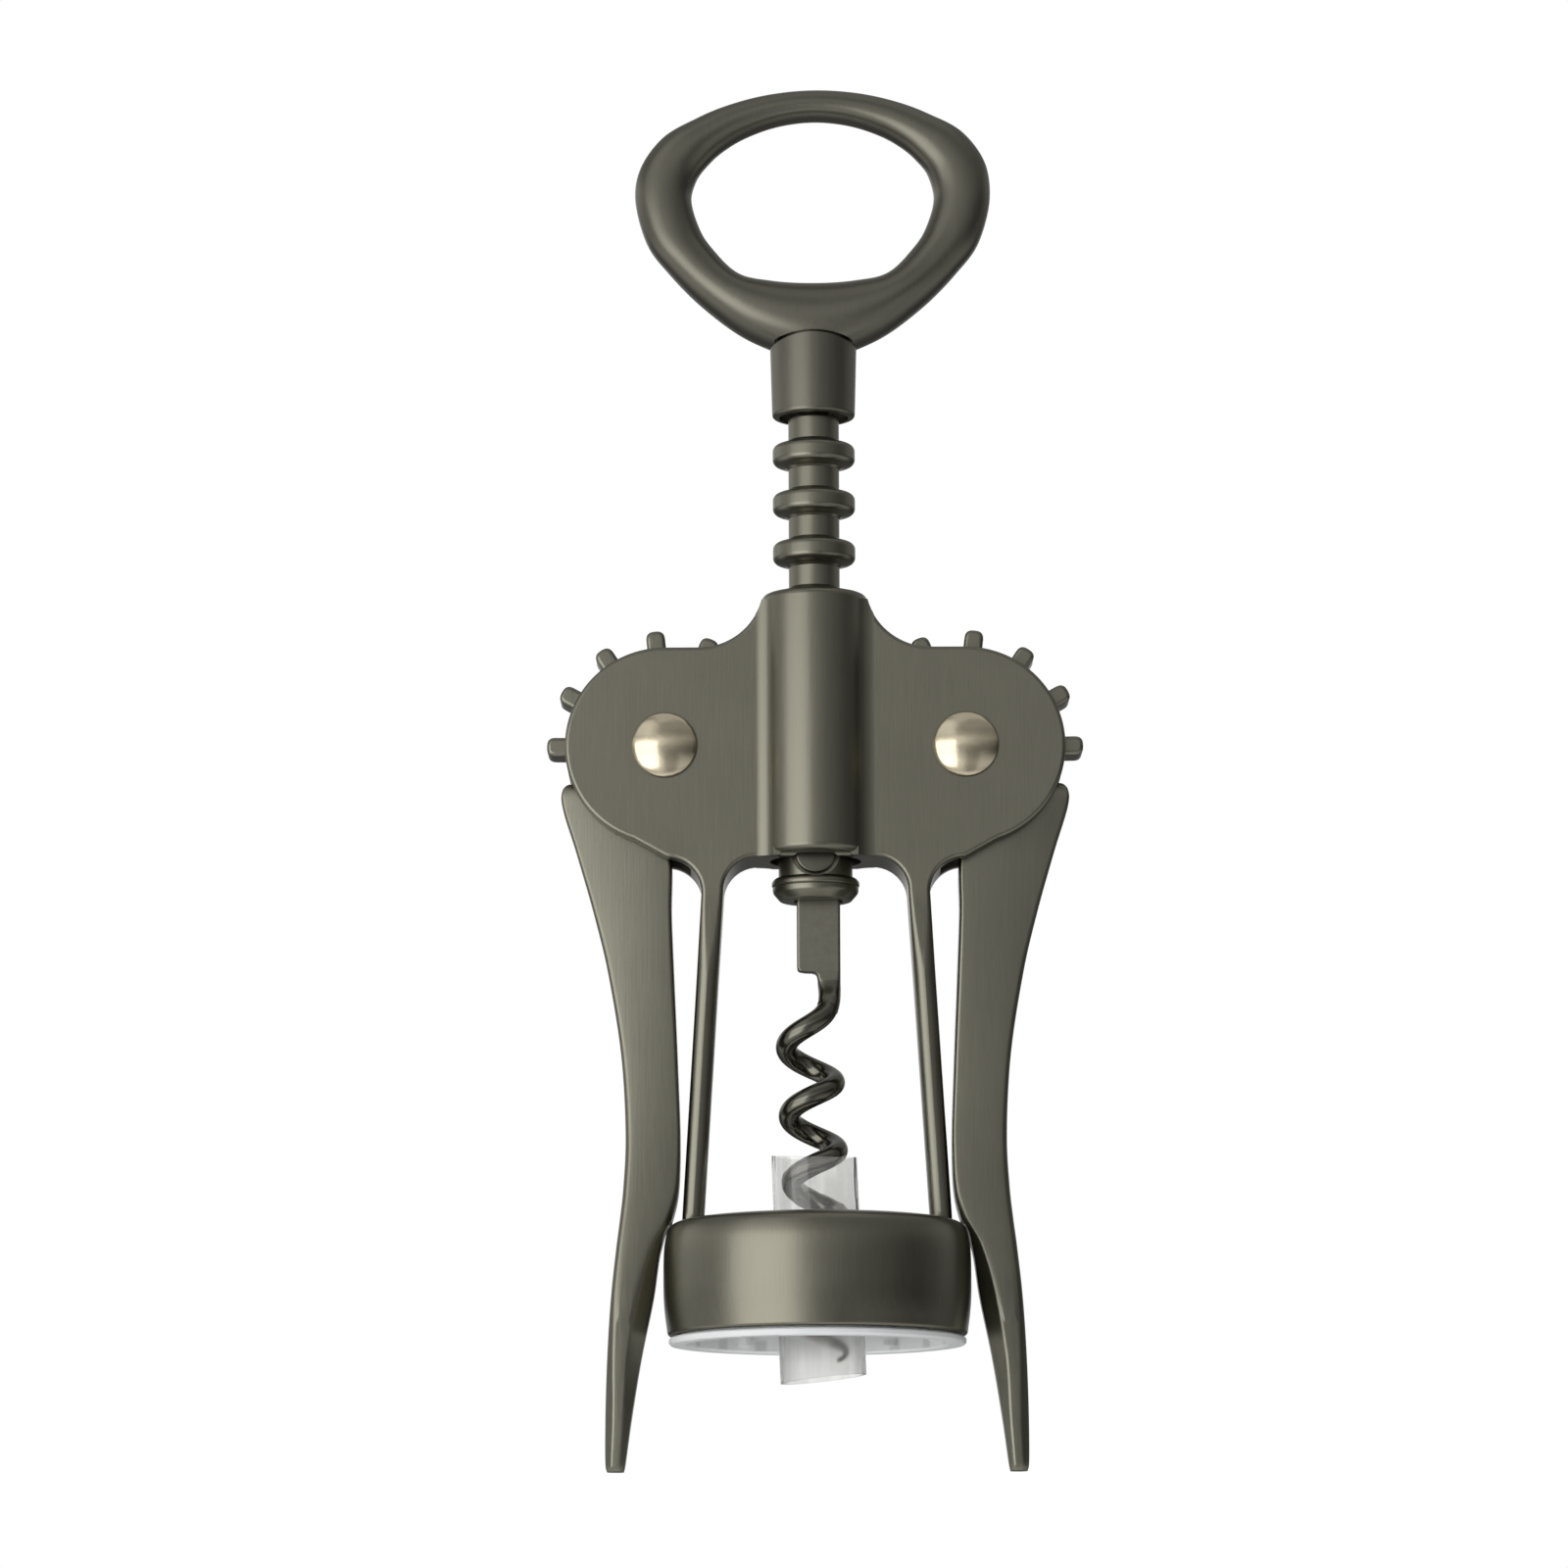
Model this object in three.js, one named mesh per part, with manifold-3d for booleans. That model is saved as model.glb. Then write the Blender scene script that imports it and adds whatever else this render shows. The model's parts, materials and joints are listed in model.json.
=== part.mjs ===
// Wing corkscrew with a cap-lifter handle, in millimetres, +Z up along the screw axis.
// The origin is on the screw axis, in the plane where the bottle's lip seats.
// X runs from the left lever to the right one, and the front faces -Y.

import * as THREE from 'three';
import { mergeVertices } from 'three/addons/utils/BufferGeometryUtils.js';
import Module from 'manifold-3d';

const wasm = await Module();
wasm.setup();

// Clearances and helpers shared by all pieces
const seatGap = 0.3; // between two pieces that stay still on each other
const runningGap = 0.3; // radial play of a round piece that turns or slides
const overrun = 1; // how far a cut reaches past the face that it opens
const weld = 1e-4; // points closer than this are one point

// Facet counts
const roundSides = 30;
const smallSides = 18;
const rackSides = 22;
const bellSides = 48;
const wireSides = 8;
const ringSectionSides = 12;
const ringStepsPerStation = 3;
const armStepsPerStation = 2;
const earSteps = 14;
const filletSteps = 5;
const edgeSteps = 2;
const headSteps = 3;
const sleeveSteps = 14;

// Gear and rack
const rackPitch = 6.64;
const teethPerTurn = 13;
const toothAddendum = 2.06; // tooth tip beyond the pitch circle
const toothWidth = 2.5;
const toothTipRound = 0.55;
const toothTipClearance = 0.33; // tooth tip to rack core in full mesh
const leverToothCount = 8;
const rackRingCount = 8;
const ringsAbovePivotCount = 6; // rings above the one that is level with the pivots
const rackCoreRadius = 3.37;
const ringDepth = 2.1;
const ringRootHalf = 1.85;
const ringShoulderHalf = 1.2;
const ringRimHalf = 0.6;
const ringEdgeRound = 0.4;
const coreTopLength = 5.2;

const pitchRadius = (rackPitch * teethPerTurn) / (2 * Math.PI);
const toothTipRadius = pitchRadius + toothAddendum;
const toothAngle = (2 * Math.PI) / teethPerTurn;
const rackRingRadius = rackCoreRadius + ringDepth;
const pivotX = rackCoreRadius + toothTipClearance + toothTipRadius;

// Frame casting: barrel, ears and legs
const pivotHeight = 65.85;
const earRadius = 13.1;
const frameDepth = 11; // over both plates
const gearSideClearance = 0.4; // lever's faces to the plates
const plateEdgeRound = 0.55;
const plateBottomHeight = 51.1;
const pocketClearance = 0.6; // tooth tips to the casting round them
const barrelShoulder = 1.05; // barrel's top above the plates' flare
const flareStartAngle = 0.262; // flare's slant where it leaves the barrel, radians
const earFootAngle = 0.32; // where the ear's circle ends, from straight down, radians
const outerFilletRadius = 4.6;
const innerFilletRadius = 4.5;
const barrelBoreClearance = 0.53;
const barrelWall = 1;
const barrelDepth = 18.8;
const barrelHeight = 34.8;
const barrelBottomHeight = 51.5;
const barrelEdgeRound = 0.9;
const barrelFillet = 2.8;
const legWidth = 3;
const legTopX = 13.7;
const legFootX = 16.2;
const legTopHeight = 46.4;
const legFootDepth = 6.4;
const legWaistShare = 0.3; // of the way down to where the leg stops narrowing fast
const legWaistDepthShare = 0.55; // of the narrowing done there
const legEdgeRound = 0.8;

const barrelBoreRadius = rackRingRadius + barrelBoreClearance;
const barrelRadius = barrelBoreRadius + barrelWall;
const barrelTopHeight = barrelBottomHeight + barrelHeight;
const pocketRadius = toothTipRadius + pocketClearance;
const flareTopHeight = barrelTopHeight - barrelShoulder;
const flareRadius = (flareTopHeight - pivotHeight - earRadius) / (1 - Math.sin(flareStartAngle));

// Bell that goes over the bottle
const bellRadius = 20.05;
const bellTopRadius = 19.8;
const bellHeight = 15.2;
const bellTopHeight = 4;
const bellWall = 2;
const bellCornerRadius = 3;
const bellRimRound = 0.6;
const bellRimInset = 0.18; // the rim is this much inside the belly
const bellBellyShare = 0.32; // of the height, from the rim up to the widest place
const bellInnerRound = 1.2;
const bellHoleRadius = 12.75;

const bellRimHeight = bellTopHeight - bellHeight;

// Plastic liner of the bell
const linerWall = 0.9;
const linerFlangeInset = 0.55; // flange's edge inside the bell's rim
const linerFlange = 0.9;
const linerRibCount = 10;
const linerRibDepth = 1.4;
const linerRibWidth = 1.4;
const linerLip = 0.15; // shows inside the bell's hole

// Rivets at the lever pivots
const rivetHeadRadius = 4.3;
const rivetHeadHeight = 1.3;
const rivetHeadEdge = 0.35;
const rivetShankRadius = 2.2;
const rivetCapRecess = 0.7;

// Levers
const leverThickness = 5.8; // gear and upper arm
const leverRootRadius = 12.4;
const leverLength = 94.6; // pivot down to the tip
const leverReach = 13.9; // pivot out to the horn beside the ear
const leverBulge = 4; // thickest half section, at the finger grip
const leverBellClearance = 0.3;
const leverEdgeRound = 0.35;

// Handle ring and socket
const handleHeight = 37.05; // outside, top of the ring to its lowest point
const ringRise = 44.76; // socket foot up to the top of the ring
const handleWidth = 47.5;
const handleHoleWidth = 32.4;
const handleHalfDepth = 6.4; // at the base of the ring
const ringSquareness = 0.85; // exponent of the ring's section, 1 for an ellipse
const socketTopRadius = 5.8;
const socketFootRadius = 5.45;
const socketRise = 9.6; // socket foot up into the ring
const socketEdgeRound = 0.8;
const socketRecessRadius = 4.6;
const socketRecessDepth = 1.2;
const spindleEngagement = 7; // spindle inside the handle

// Spindle with its hub and collar
const spindleRadius = 2;
const hubRadius = 4.87;
const hubTopHeight = 57;
const hubChamfer = 0.5;
const collarRadius = 5.77;
const collarHeight = 3;
const collarFootHeight = 45.8;
const collarRound = 0.7;
const pinRadius = 1.5;
const pinSeatRadius = 2.95;
const pinSeatDepth = 0.6;
const pinEndRound = 0.4;

// Worm
const tangWidth = 5.6;
const tangShift = 0.3;
const tangThickness = 2.4;
const tangFootHeight = 36.5;
const tangCornerRound = 0.7;
const tangEdgeRound = 0.35;
const tangTopHeight = 55.4;
const neckRound = 1.6;
const wireRadius = 1.3;
const helixRadius = 3.15;
const helixPitch = 8.8;
const helixStartHeight = 30.6;
const helixLeanHeight = 33; // where the lean is measured from
const helixCrossHeight = -0.5; // where the leaning helix crosses the screw axis
const wormTipHeight = -14.6;
const wormTipRadius = 0.25;
const wormTaperTurns = 0.75;
const helixStepsPerTurn = 16;

// Clear sleeve on the worm's tip
const sleeveLength = 29;
const sleeveTopHeight = 12.2;
const sleeveHalfWidth = 5.6;
const sleeveHalfDepth = 5.1;
const sleeveWall = 0.3;
const sleeveCutSlope = 0.11;
const sleeveTopCutShare = -0.4; // the top cut's slope against the foot's

// Rack and handle places that follow from the mesh
const topRingHeight = pivotHeight + ringsAbovePivotCount * rackPitch;
const rackFootHeight = hubTopHeight + seatGap;
const rackTopHeight = topRingHeight + coreTopLength;
const socketFootHeight = rackTopHeight + seatGap;
const spindleTopHeight = socketFootHeight + spindleEngagement;
const handleTopHeight = socketFootHeight + ringRise;

// Materials
const finishes = {
  castMetal: { color: 0x6b6a60, roughness: 0.42, metalness: 0.85 },
  darkSteel: { color: 0x3d3c36, roughness: 0.3, metalness: 0.9 },
  nickel: { color: 0xcfc8b8, roughness: 0.15, metalness: 1 },
  frostedPlastic: { color: 0xd5dce0, roughness: 0.35, metalness: 0, transparent: true, opacity: 0.75 },
  clearPlastic: { color: 0xf2f5f5, roughness: 0.1, metalness: 0, transparent: true, opacity: 0.35 },
};

// Solid helpers

function geometryFrom(points, faces) {
  const geometry = new THREE.BufferGeometry();
  geometry.setAttribute('position', new THREE.Float32BufferAttribute(points, 3));
  geometry.setIndex(faces);
  return geometry;
}

function solidOf(geometry) {
  const bare = geometry.clone();
  bare.deleteAttribute('normal');
  bare.deleteAttribute('uv');
  const merged = mergeVertices(bare, weld);
  return new wasm.Manifold(new wasm.Mesh({
    numProp: 3,
    vertProperties: Float32Array.from(merged.attributes.position.array),
    triVerts: Uint32Array.from(merged.index.array),
  }));
}

function geometryOf(solid) {
  const mesh = solid.getMesh();
  return geometryFrom(Array.from(mesh.vertProperties), Array.from(mesh.triVerts));
}

function joined(solids) {
  return solids.reduce((whole, next) => whole.add(next));
}

function piece(name, geometry, finish) {
  const shown = geometry.index ? geometry.toNonIndexed() : geometry;
  shown.computeVertexNormals();
  const mesh = new THREE.Mesh(shown, new THREE.MeshStandardMaterial(finishes[finish]));
  mesh.name = name;
  return mesh;
}

// Shapes are drawn in X and Z: this turns an extrusion to stand up and centres its depth on Y.
function standingExtrusion(shape, depth, edgeRound) {
  const geometry = new THREE.ExtrudeGeometry(shape, {
    depth: depth - 2 * edgeRound,
    bevelEnabled: edgeRound > 0,
    bevelThickness: edgeRound,
    bevelSize: edgeRound,
    bevelOffset: -edgeRound,
    bevelSegments: 1,
    curveSegments: edgeSteps,
  });
  geometry.rotateX(Math.PI / 2);
  geometry.translate(0, depth / 2 - edgeRound, 0);
  return geometry;
}

// A lathe turned from Three's Y axis to the Z axis.
function turned(profile, sides) {
  const points = profile.map(([radius, height]) => new THREE.Vector2(Math.max(radius, 0), height));
  const geometry = new THREE.LatheGeometry(points, sides);
  geometry.rotateX(Math.PI / 2);
  return geometry;
}

// A round bar or disc along Y.
function crossBar(radius, length, x, y, z, sides = smallSides) {
  const geometry = new THREE.CylinderGeometry(radius, radius, length, sides);
  geometry.translate(x, y, z);
  return geometry;
}

// Points of a quarter round from one angle to another about a centre.
function arcPoints(centreX, centreY, radius, from, to, steps) {
  return Array.from({ length: steps + 1 }, (_, i) => {
    const angle = from + ((to - from) * i) / steps;
    return [centreX + radius * Math.cos(angle), centreY + radius * Math.sin(angle)];
  });
}

// A closed skin through rings of equally many points; a loop joins its last ring to its first.
function loft(rings, isLoop = false) {
  const count = rings[0].length;
  const points = rings.flat().flatMap((p) => [p.x, p.y, p.z]);
  const faces = [];
  const spans = isLoop ? rings.length : rings.length - 1;
  for (let i = 0; i < spans; i += 1) {
    const here = i * count;
    const next = ((i + 1) % rings.length) * count;
    for (let j = 0; j < count; j += 1) {
      const k = (j + 1) % count;
      faces.push(here + j, next + j, next + k, here + j, next + k, here + k);
    }
  }
  if (!isLoop) {
    const last = (rings.length - 1) * count;
    for (let j = 1; j < count - 1; j += 1) {
      faces.push(0, j, j + 1, last, last + j + 1, last + j);
    }
  }
  return facingOut(geometryFrom(points, faces));
}

function facingOut(geometry) {
  const p = geometry.attributes.position;
  const faces = Array.from(geometry.index.array);
  const corner = (i) => new THREE.Vector3().fromBufferAttribute(p, faces[i]);
  let volume = 0;
  for (let i = 0; i < faces.length; i += 3) {
    volume += corner(i).dot(corner(i + 1).cross(corner(i + 2)));
  }
  if (volume < 0) faces.reverse();
  geometry.setIndex(faces);
  return geometry;
}

// Frame

// Right half of the front outline, from the barrel's top down to the leg and back to the middle.
function plateHalfOutline() {
  const flareX = barrelRadius + flareRadius * Math.cos(flareStartAngle);
  const earTop = pivotHeight + earRadius;
  const flare = arcPoints(flareX, earTop + flareRadius, flareRadius, Math.PI + flareStartAngle,
    1.5 * Math.PI, filletSteps);
  const ear = arcPoints(pivotX, pivotHeight, earRadius, Math.PI / 2, earFootAngle - Math.PI / 2,
    earSteps);
  const legOutside = legTopX + legWidth / 2;
  const legInside = legTopX - legWidth / 2;
  const outerCentreX = legOutside + outerFilletRadius;
  const innerCentreX = legInside - innerFilletRadius;
  const outer = arcPoints(outerCentreX, legTopHeight, outerFilletRadius, Math.PI / 2, Math.PI, filletSteps);
  const innerCentreZ = plateBottomHeight - innerFilletRadius;
  const inner = arcPoints(innerCentreX, innerCentreZ, innerFilletRadius, 0, Math.PI / 2, filletSteps);
  const stubFoot = legTopHeight - overrun;
  return [...flare, ...ear, ...outer, [legOutside, stubFoot], [legInside, stubFoot], ...inner];
}

function plateSolid(depth, edgeRound) {
  const right = plateHalfOutline();
  const left = right.map(([x, z]) => [-x, z]).reverse();
  const shape = new THREE.Shape([...right, ...left].map(([x, z]) => new THREE.Vector2(x, z)));
  return solidOf(standingExtrusion(shape, depth, edgeRound));
}

// Plan of the barrel: a long round-ended tube.
function barrelPlan(inset, sides) {
  const radius = barrelRadius - inset;
  const offset = barrelDepth / 2 - barrelRadius;
  const front = arcPoints(0, -offset, radius, Math.PI, 2 * Math.PI, sides / 2);
  const back = arcPoints(0, offset, radius, 0, Math.PI, sides / 2);
  return [...front, ...back];
}

function barrelSolid() {
  const roundMiddle = 1 - Math.SQRT1_2;
  const levels = [
    [barrelEdgeRound, barrelBottomHeight],
    [0, barrelBottomHeight + barrelEdgeRound],
    [0, barrelTopHeight - barrelEdgeRound],
    [barrelEdgeRound * roundMiddle, barrelTopHeight - barrelEdgeRound * roundMiddle],
    [barrelEdgeRound, barrelTopHeight],
  ];
  const rings = levels.map(([inset, z]) =>
    barrelPlan(inset, roundSides).map(([x, y]) => new THREE.Vector3(x, y, z)));
  return solidOf(loft(rings));
}

// Hollow corners that run tangent from the plates' faces to the barrel, within the plates' outline.
function barrelFilletSolids() {
  const face = frameDepth / 2;
  const offset = barrelDepth / 2 - barrelRadius;
  const centreY = face + barrelFillet;
  const spread = Math.asin((centreY - offset) / (barrelRadius + barrelFillet));
  const centreX = (barrelRadius + barrelFillet) * Math.cos(spread);
  const hollow = arcPoints(centreX, centreY, barrelFillet, Math.PI + spread, 1.5 * Math.PI, filletSteps);
  const [touchX, touchY] = hollow[0];
  const section = [...hollow, [centreX, face - overrun], [touchX - overrun, face - overrun],
    [touchX - overrun, touchY]];
  const outline = plateSolid(barrelDepth, plateEdgeRound);
  const solids = [];
  for (const sideX of [-1, 1]) {
    for (const sideY of [-1, 1]) {
      const ring = (z) => section.map(([x, y]) => new THREE.Vector3(sideX * x, sideY * y, z));
      const low = ring(plateBottomHeight + plateEdgeRound);
      solids.push(solidOf(prismOf(low, ring(flareTopHeight))).intersect(outline));
    }
  }
  return solids;
}

// A prism between two like outlines that may be hollow in plan.
function prismOf(low, high) {
  const plan = low.map((p) => new THREE.Vector2(p.x, p.y));
  if (THREE.ShapeUtils.isClockWise(plan)) {
    low.reverse();
    high.reverse();
    plan.reverse();
  }
  const count = low.length;
  const caps = THREE.ShapeUtils.triangulateShape(plan, []);
  const points = [...low, ...high].flatMap((p) => [p.x, p.y, p.z]);
  const faces = [];
  for (const [a, b, c] of caps) {
    faces.push(a, c, b, a + count, b + count, c + count);
  }
  for (let j = 0; j < count; j += 1) {
    const k = (j + 1) % count;
    faces.push(j, k, k + count, j, k + count, j + count);
  }
  return facingOut(geometryFrom(points, faces));
}

// Eight-sided section of a leg or bar with softened edges.
function softRectangle(halfX, halfY, round) {
  return [[halfX, halfY - round], [halfX - round, halfY], [round - halfX, halfY], [-halfX, halfY - round],
    [-halfX, round - halfY], [round - halfX, -halfY], [halfX - round, -halfY], [halfX, round - halfY]];
}

function legSolid(side) {
  const footHeight = bellTopHeight - bellWall / 2;
  const topHalf = frameDepth / 2;
  const levels = [
    [legTopX, legTopHeight, topHalf],
    [legTopX + (legFootX - legTopX) * legWaistShare,
      legTopHeight - (legTopHeight - footHeight) * legWaistShare,
      topHalf + (legFootDepth / 2 - topHalf) * legWaistDepthShare],
    [legFootX, footHeight, legFootDepth / 2],
  ];
  const rings = levels.map(([x, z, halfY]) => softRectangle(legWidth / 2, halfY, legEdgeRound)
    .map(([dx, dy]) => new THREE.Vector3(side * (x + dx), dy, z)));
  return solidOf(loft(rings));
}

// Outside of the bell from the edge of its top hole to its rim, grown by a clearance.
function bellOutside(grow) {
  const cornerX = bellTopRadius - bellCornerRadius;
  const cornerZ = bellTopHeight - bellCornerRadius;
  const corner = arcPoints(cornerX, cornerZ, bellCornerRadius + grow, Math.PI / 2, 0, filletSteps);
  const bellyHeight = bellRimHeight + bellHeight * bellBellyShare;
  const rim = arcPoints(bellRadius - bellRimInset - bellRimRound, bellRimHeight + bellRimRound,
    bellRimRound + grow, 0, -Math.PI / 2, edgeSteps);
  return [...corner, [bellRadius + grow, bellyHeight], ...rim];
}

function bellSolid() {
  const innerRadius = bellRadius - bellWall;
  const innerTop = bellTopHeight - bellWall;
  const inside = arcPoints(innerRadius - bellInnerRound, innerTop - bellInnerRound, bellInnerRound,
    0, Math.PI / 2, edgeSteps);
  const profile = [[bellHoleRadius, bellTopHeight], ...bellOutside(0),
    [innerRadius, bellRimHeight], ...inside, [bellHoleRadius, innerTop]];
  return solidOf(turned([...profile, profile[0]].reverse(), bellSides));
}

// The bell's filled envelope, used to relieve the levers where they lie against it.
function bellEnvelope(clearance) {
  const low = bellRimHeight - clearance;
  const outside = bellOutside(clearance);
  return solidOf(turned([[0, low], ...outside.reverse(), [0, bellTopHeight + clearance]], bellSides));
}

function frameGeometry() {
  let solid = joined([plateSolid(frameDepth, plateEdgeRound), barrelSolid(), ...barrelFilletSolids(),
    legSolid(-1), legSolid(1), bellSolid()]);
  const boreFoot = Math.min(barrelBottomHeight, plateBottomHeight) - overrun;
  const boreTop = Math.max(barrelTopHeight, flareTopHeight) + overrun;
  const bore = new THREE.CylinderGeometry(barrelBoreRadius, barrelBoreRadius, boreTop - boreFoot,
    roundSides);
  bore.rotateX(Math.PI / 2);
  bore.translate(0, 0, (boreFoot + boreTop) / 2);
  solid = solid.subtract(solidOf(bore));
  const gearSlot = leverThickness + 2 * gearSideClearance;
  for (const side of [-1, 1]) {
    const x = side * pivotX;
    solid = solid.subtract(solidOf(crossBar(pocketRadius, gearSlot, x, 0, pivotHeight, bellSides)));
    const hole = crossBar(rivetShankRadius + runningGap, frameDepth + 2 * overrun, x, 0, pivotHeight);
    solid = solid.subtract(solidOf(hole));
  }
  return geometryOf(solid);
}

// Bell liner

function linerGeometry() {
  const outer = bellRadius - bellWall - seatGap;
  const inner = outer - linerWall;
  const top = bellTopHeight - bellWall - seatGap;
  const flangeTop = bellRimHeight - seatGap;
  const flangeFoot = flangeTop - linerFlange;
  const holeRadius = bellHoleRadius - linerLip;
  const flangeRadius = bellRadius - linerFlangeInset;
  const corner = arcPoints(outer - bellInnerRound, top - bellInnerRound, bellInnerRound, Math.PI / 2, 0,
    edgeSteps);
  const profile = [[holeRadius, 0], [holeRadius, top], ...corner, [outer, flangeTop],
    [flangeRadius, flangeTop], [flangeRadius, flangeFoot], [inner, flangeFoot], [inner, 0]];
  const shell = solidOf(turned([...profile, profile[0]].reverse(), bellSides));
  const ribLength = linerRibDepth + linerWall / 2;
  const ribTop = top / 2;
  const ribs = Array.from({ length: linerRibCount }, (_, i) => {
    const rib = new THREE.BoxGeometry(ribLength, linerRibWidth, ribTop - flangeTop);
    rib.translate(inner + linerWall / 2 - ribLength / 2, 0, (ribTop + flangeTop) / 2);
    rib.rotateZ(((i + 0.5) / linerRibCount) * 2 * Math.PI);
    return solidOf(rib);
  });
  return geometryOf(joined([shell, ...ribs]));
}

// Rivets

function headProfile() {
  const sphere = (rivetHeadRadius ** 2 + (rivetHeadHeight - rivetHeadEdge) ** 2)
    / (2 * (rivetHeadHeight - rivetHeadEdge));
  const spread = Math.asin(rivetHeadRadius / sphere);
  return Array.from({ length: headSteps + 1 }, (_, i) => {
    const angle = (spread * i) / headSteps;
    return [sphere * Math.sin(angle), rivetHeadHeight + sphere * (Math.cos(angle) - 1)];
  });
}

// Head and shank, drawn with the head's flat face at height 0 and the shank below it.
function rivetGeometry(side) {
  const shank = frameDepth + seatGap + rivetCapRecess;
  const profile = [...headProfile(), [rivetHeadRadius, 0], [rivetShankRadius, 0],
    [rivetShankRadius, -shank], [0, -shank]];
  const geometry = turned(profile.reverse(), smallSides);
  geometry.rotateX(Math.PI / 2);
  geometry.translate(side * pivotX, -frameDepth / 2 - seatGap, pivotHeight);
  return geometry;
}

function rivetCapGeometry(side) {
  const recess = rivetShankRadius + seatGap;
  const profile = [...headProfile(), [rivetHeadRadius, 0], [recess, 0], [recess, rivetCapRecess],
    [0, rivetCapRecess]];
  const geometry = turned(profile.reverse(), smallSides);
  geometry.rotateX(-Math.PI / 2);
  geometry.translate(side * pivotX, frameDepth / 2 + seatGap, pivotHeight);
  return geometry;
}

// Levers, drawn for the right side about the pivot and mirrored for the left

// Down the arm: drop, outer edge and inner edge, then half thickness and the two bevels' widths.
// The first three are shares of the length and the reach, the others shares of the bulge.
const armStationShares = [
  [0.075, 1.0, 0.25, 0.7, 0.08, 0.08],
  [0.147, 0.85, -0.035, 0.7, 0.08, 0.08],
  [0.231, 0.686, -0.046, 0.72, 0.09, 0.08],
  [0.316, 0.548, -0.07, 0.74, 0.1, 0.09],
  [0.443, 0.414, -0.108, 0.8, 0.11, 0.1],
  [0.549, 0.379, -0.132, 0.88, 0.13, 0.14],
  [0.612, 0.399, -0.119, 0.93, 0.17, 0.22],
  [0.654, 0.428, -0.06, 0.97, 0.22, 0.33],
  [0.697, 0.464, 0.05, 1.0, 0.28, 0.43],
  [0.76, 0.509, 0.112, 0.98, 0.33, 0.45],
  [0.845, 0.545, 0.232, 0.88, 0.34, 0.32],
  [0.931, 0.56, 0.329, 0.72, 0.3, 0.22],
  [0.992, 0.557, 0.385, 0.55, 0.22, 0.16],
  [1.0, 0.545, 0.397, 0.46, 0.16, 0.12],
];

function armSolid() {
  const [edges, thickness] = [0, 3].map((first) => new THREE.CatmullRomCurve3(
    armStationShares.map((row) => new THREE.Vector3(...row.slice(first, first + 3)))));
  const steps = armStepsPerStation * (armStationShares.length - 1);
  const rings = Array.from({ length: steps + 1 }, (_, i) => {
    const edge = edges.getPoint(i / steps);
    const section = thickness.getPoint(i / steps);
    const outer = pivotX + edge.y * leverReach;
    const inner = pivotX + edge.z * leverReach;
    const half = section.x * leverBulge;
    const outerBevel = section.y * leverBulge;
    const innerBevel = section.z * leverBulge;
    const z = pivotHeight - edge.x * leverLength;
    const plan = [[outer, half - outerBevel], [outer - outerBevel, half], [inner + innerBevel, half],
      [inner, half - innerBevel], [inner, innerBevel - half], [inner + innerBevel, -half],
      [outer - outerBevel, -half], [outer, outerBevel - half]];
    return plan.map(([x, y]) => new THREE.Vector3(x, y, z));
  });
  return solidOf(loft(rings));
}

function gearDiscSolid() {
  const disc = new THREE.Shape(arcPoints(pivotX, pivotHeight, leverRootRadius, 0, 2 * Math.PI, roundSides)
    .slice(0, -1).map(([x, z]) => new THREE.Vector2(x, z)));
  return solidOf(standingExtrusion(disc, leverThickness, leverEdgeRound));
}

function toothSolid(angle) {
  const half = toothWidth / 2;
  const shape = new THREE.Shape();
  shape.moveTo(leverRootRadius / 2, -half);
  shape.lineTo(toothTipRadius - toothTipRound, -half);
  shape.quadraticCurveTo(toothTipRadius, -half, toothTipRadius, toothTipRound - half);
  shape.lineTo(toothTipRadius, half - toothTipRound);
  shape.quadraticCurveTo(toothTipRadius, half, toothTipRadius - toothTipRound, half);
  shape.lineTo(leverRootRadius / 2, half);
  const geometry = standingExtrusion(shape, leverThickness, leverEdgeRound);
  geometry.rotateY(-angle);
  geometry.translate(pivotX, 0, pivotHeight);
  return solidOf(geometry);
}

// Joins the gear to the arm's top inside the ears.
function armRootSolid() {
  const shoulderShare = 0.65;
  const heelShare = 0.5;
  const horn = armStationShares[0];
  const waist = armStationShares[1];
  const corners = [
    [pivotX + leverRootRadius * shoulderShare, pivotHeight],
    [pivotX + horn[1] * leverReach - toothTipRound, pivotHeight - horn[0] * leverLength + toothTipRound],
    [pivotX + horn[1] * leverReach, pivotHeight - horn[0] * leverLength],
    [pivotX + waist[1] * leverReach, pivotHeight - waist[0] * leverLength],
    [pivotX + waist[2] * leverReach, pivotHeight - waist[0] * leverLength],
    [pivotX - leverRootRadius * heelShare, pivotHeight - leverRootRadius * shoulderShare],
  ];
  const shape = new THREE.Shape(corners.map(([x, z]) => new THREE.Vector2(x, z)));
  return solidOf(standingExtrusion(shape, leverThickness, leverEdgeRound));
}

function leverGeometry(side) {
  // The rack's level ring lies between the two lowest teeth, half a tooth step either side of level.
  const teeth = Array.from({ length: leverToothCount },
    (_, i) => toothSolid(Math.PI - (i - 0.5) * toothAngle));
  let solid = joined([gearDiscSolid(), armRootSolid(), armSolid(), ...teeth]);
  const bore = crossBar(rivetShankRadius + runningGap, 2 * leverThickness, pivotX, 0, pivotHeight);
  solid = solid.subtract(solidOf(bore)).subtract(bellEnvelope(leverBellClearance));
  const geometry = geometryOf(solid);
  if (side < 0) {
    geometry.scale(-1, 1, 1);
    geometry.setIndex(Array.from(geometry.index.array).reverse());
  }
  return geometry;
}

// Rack

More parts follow.
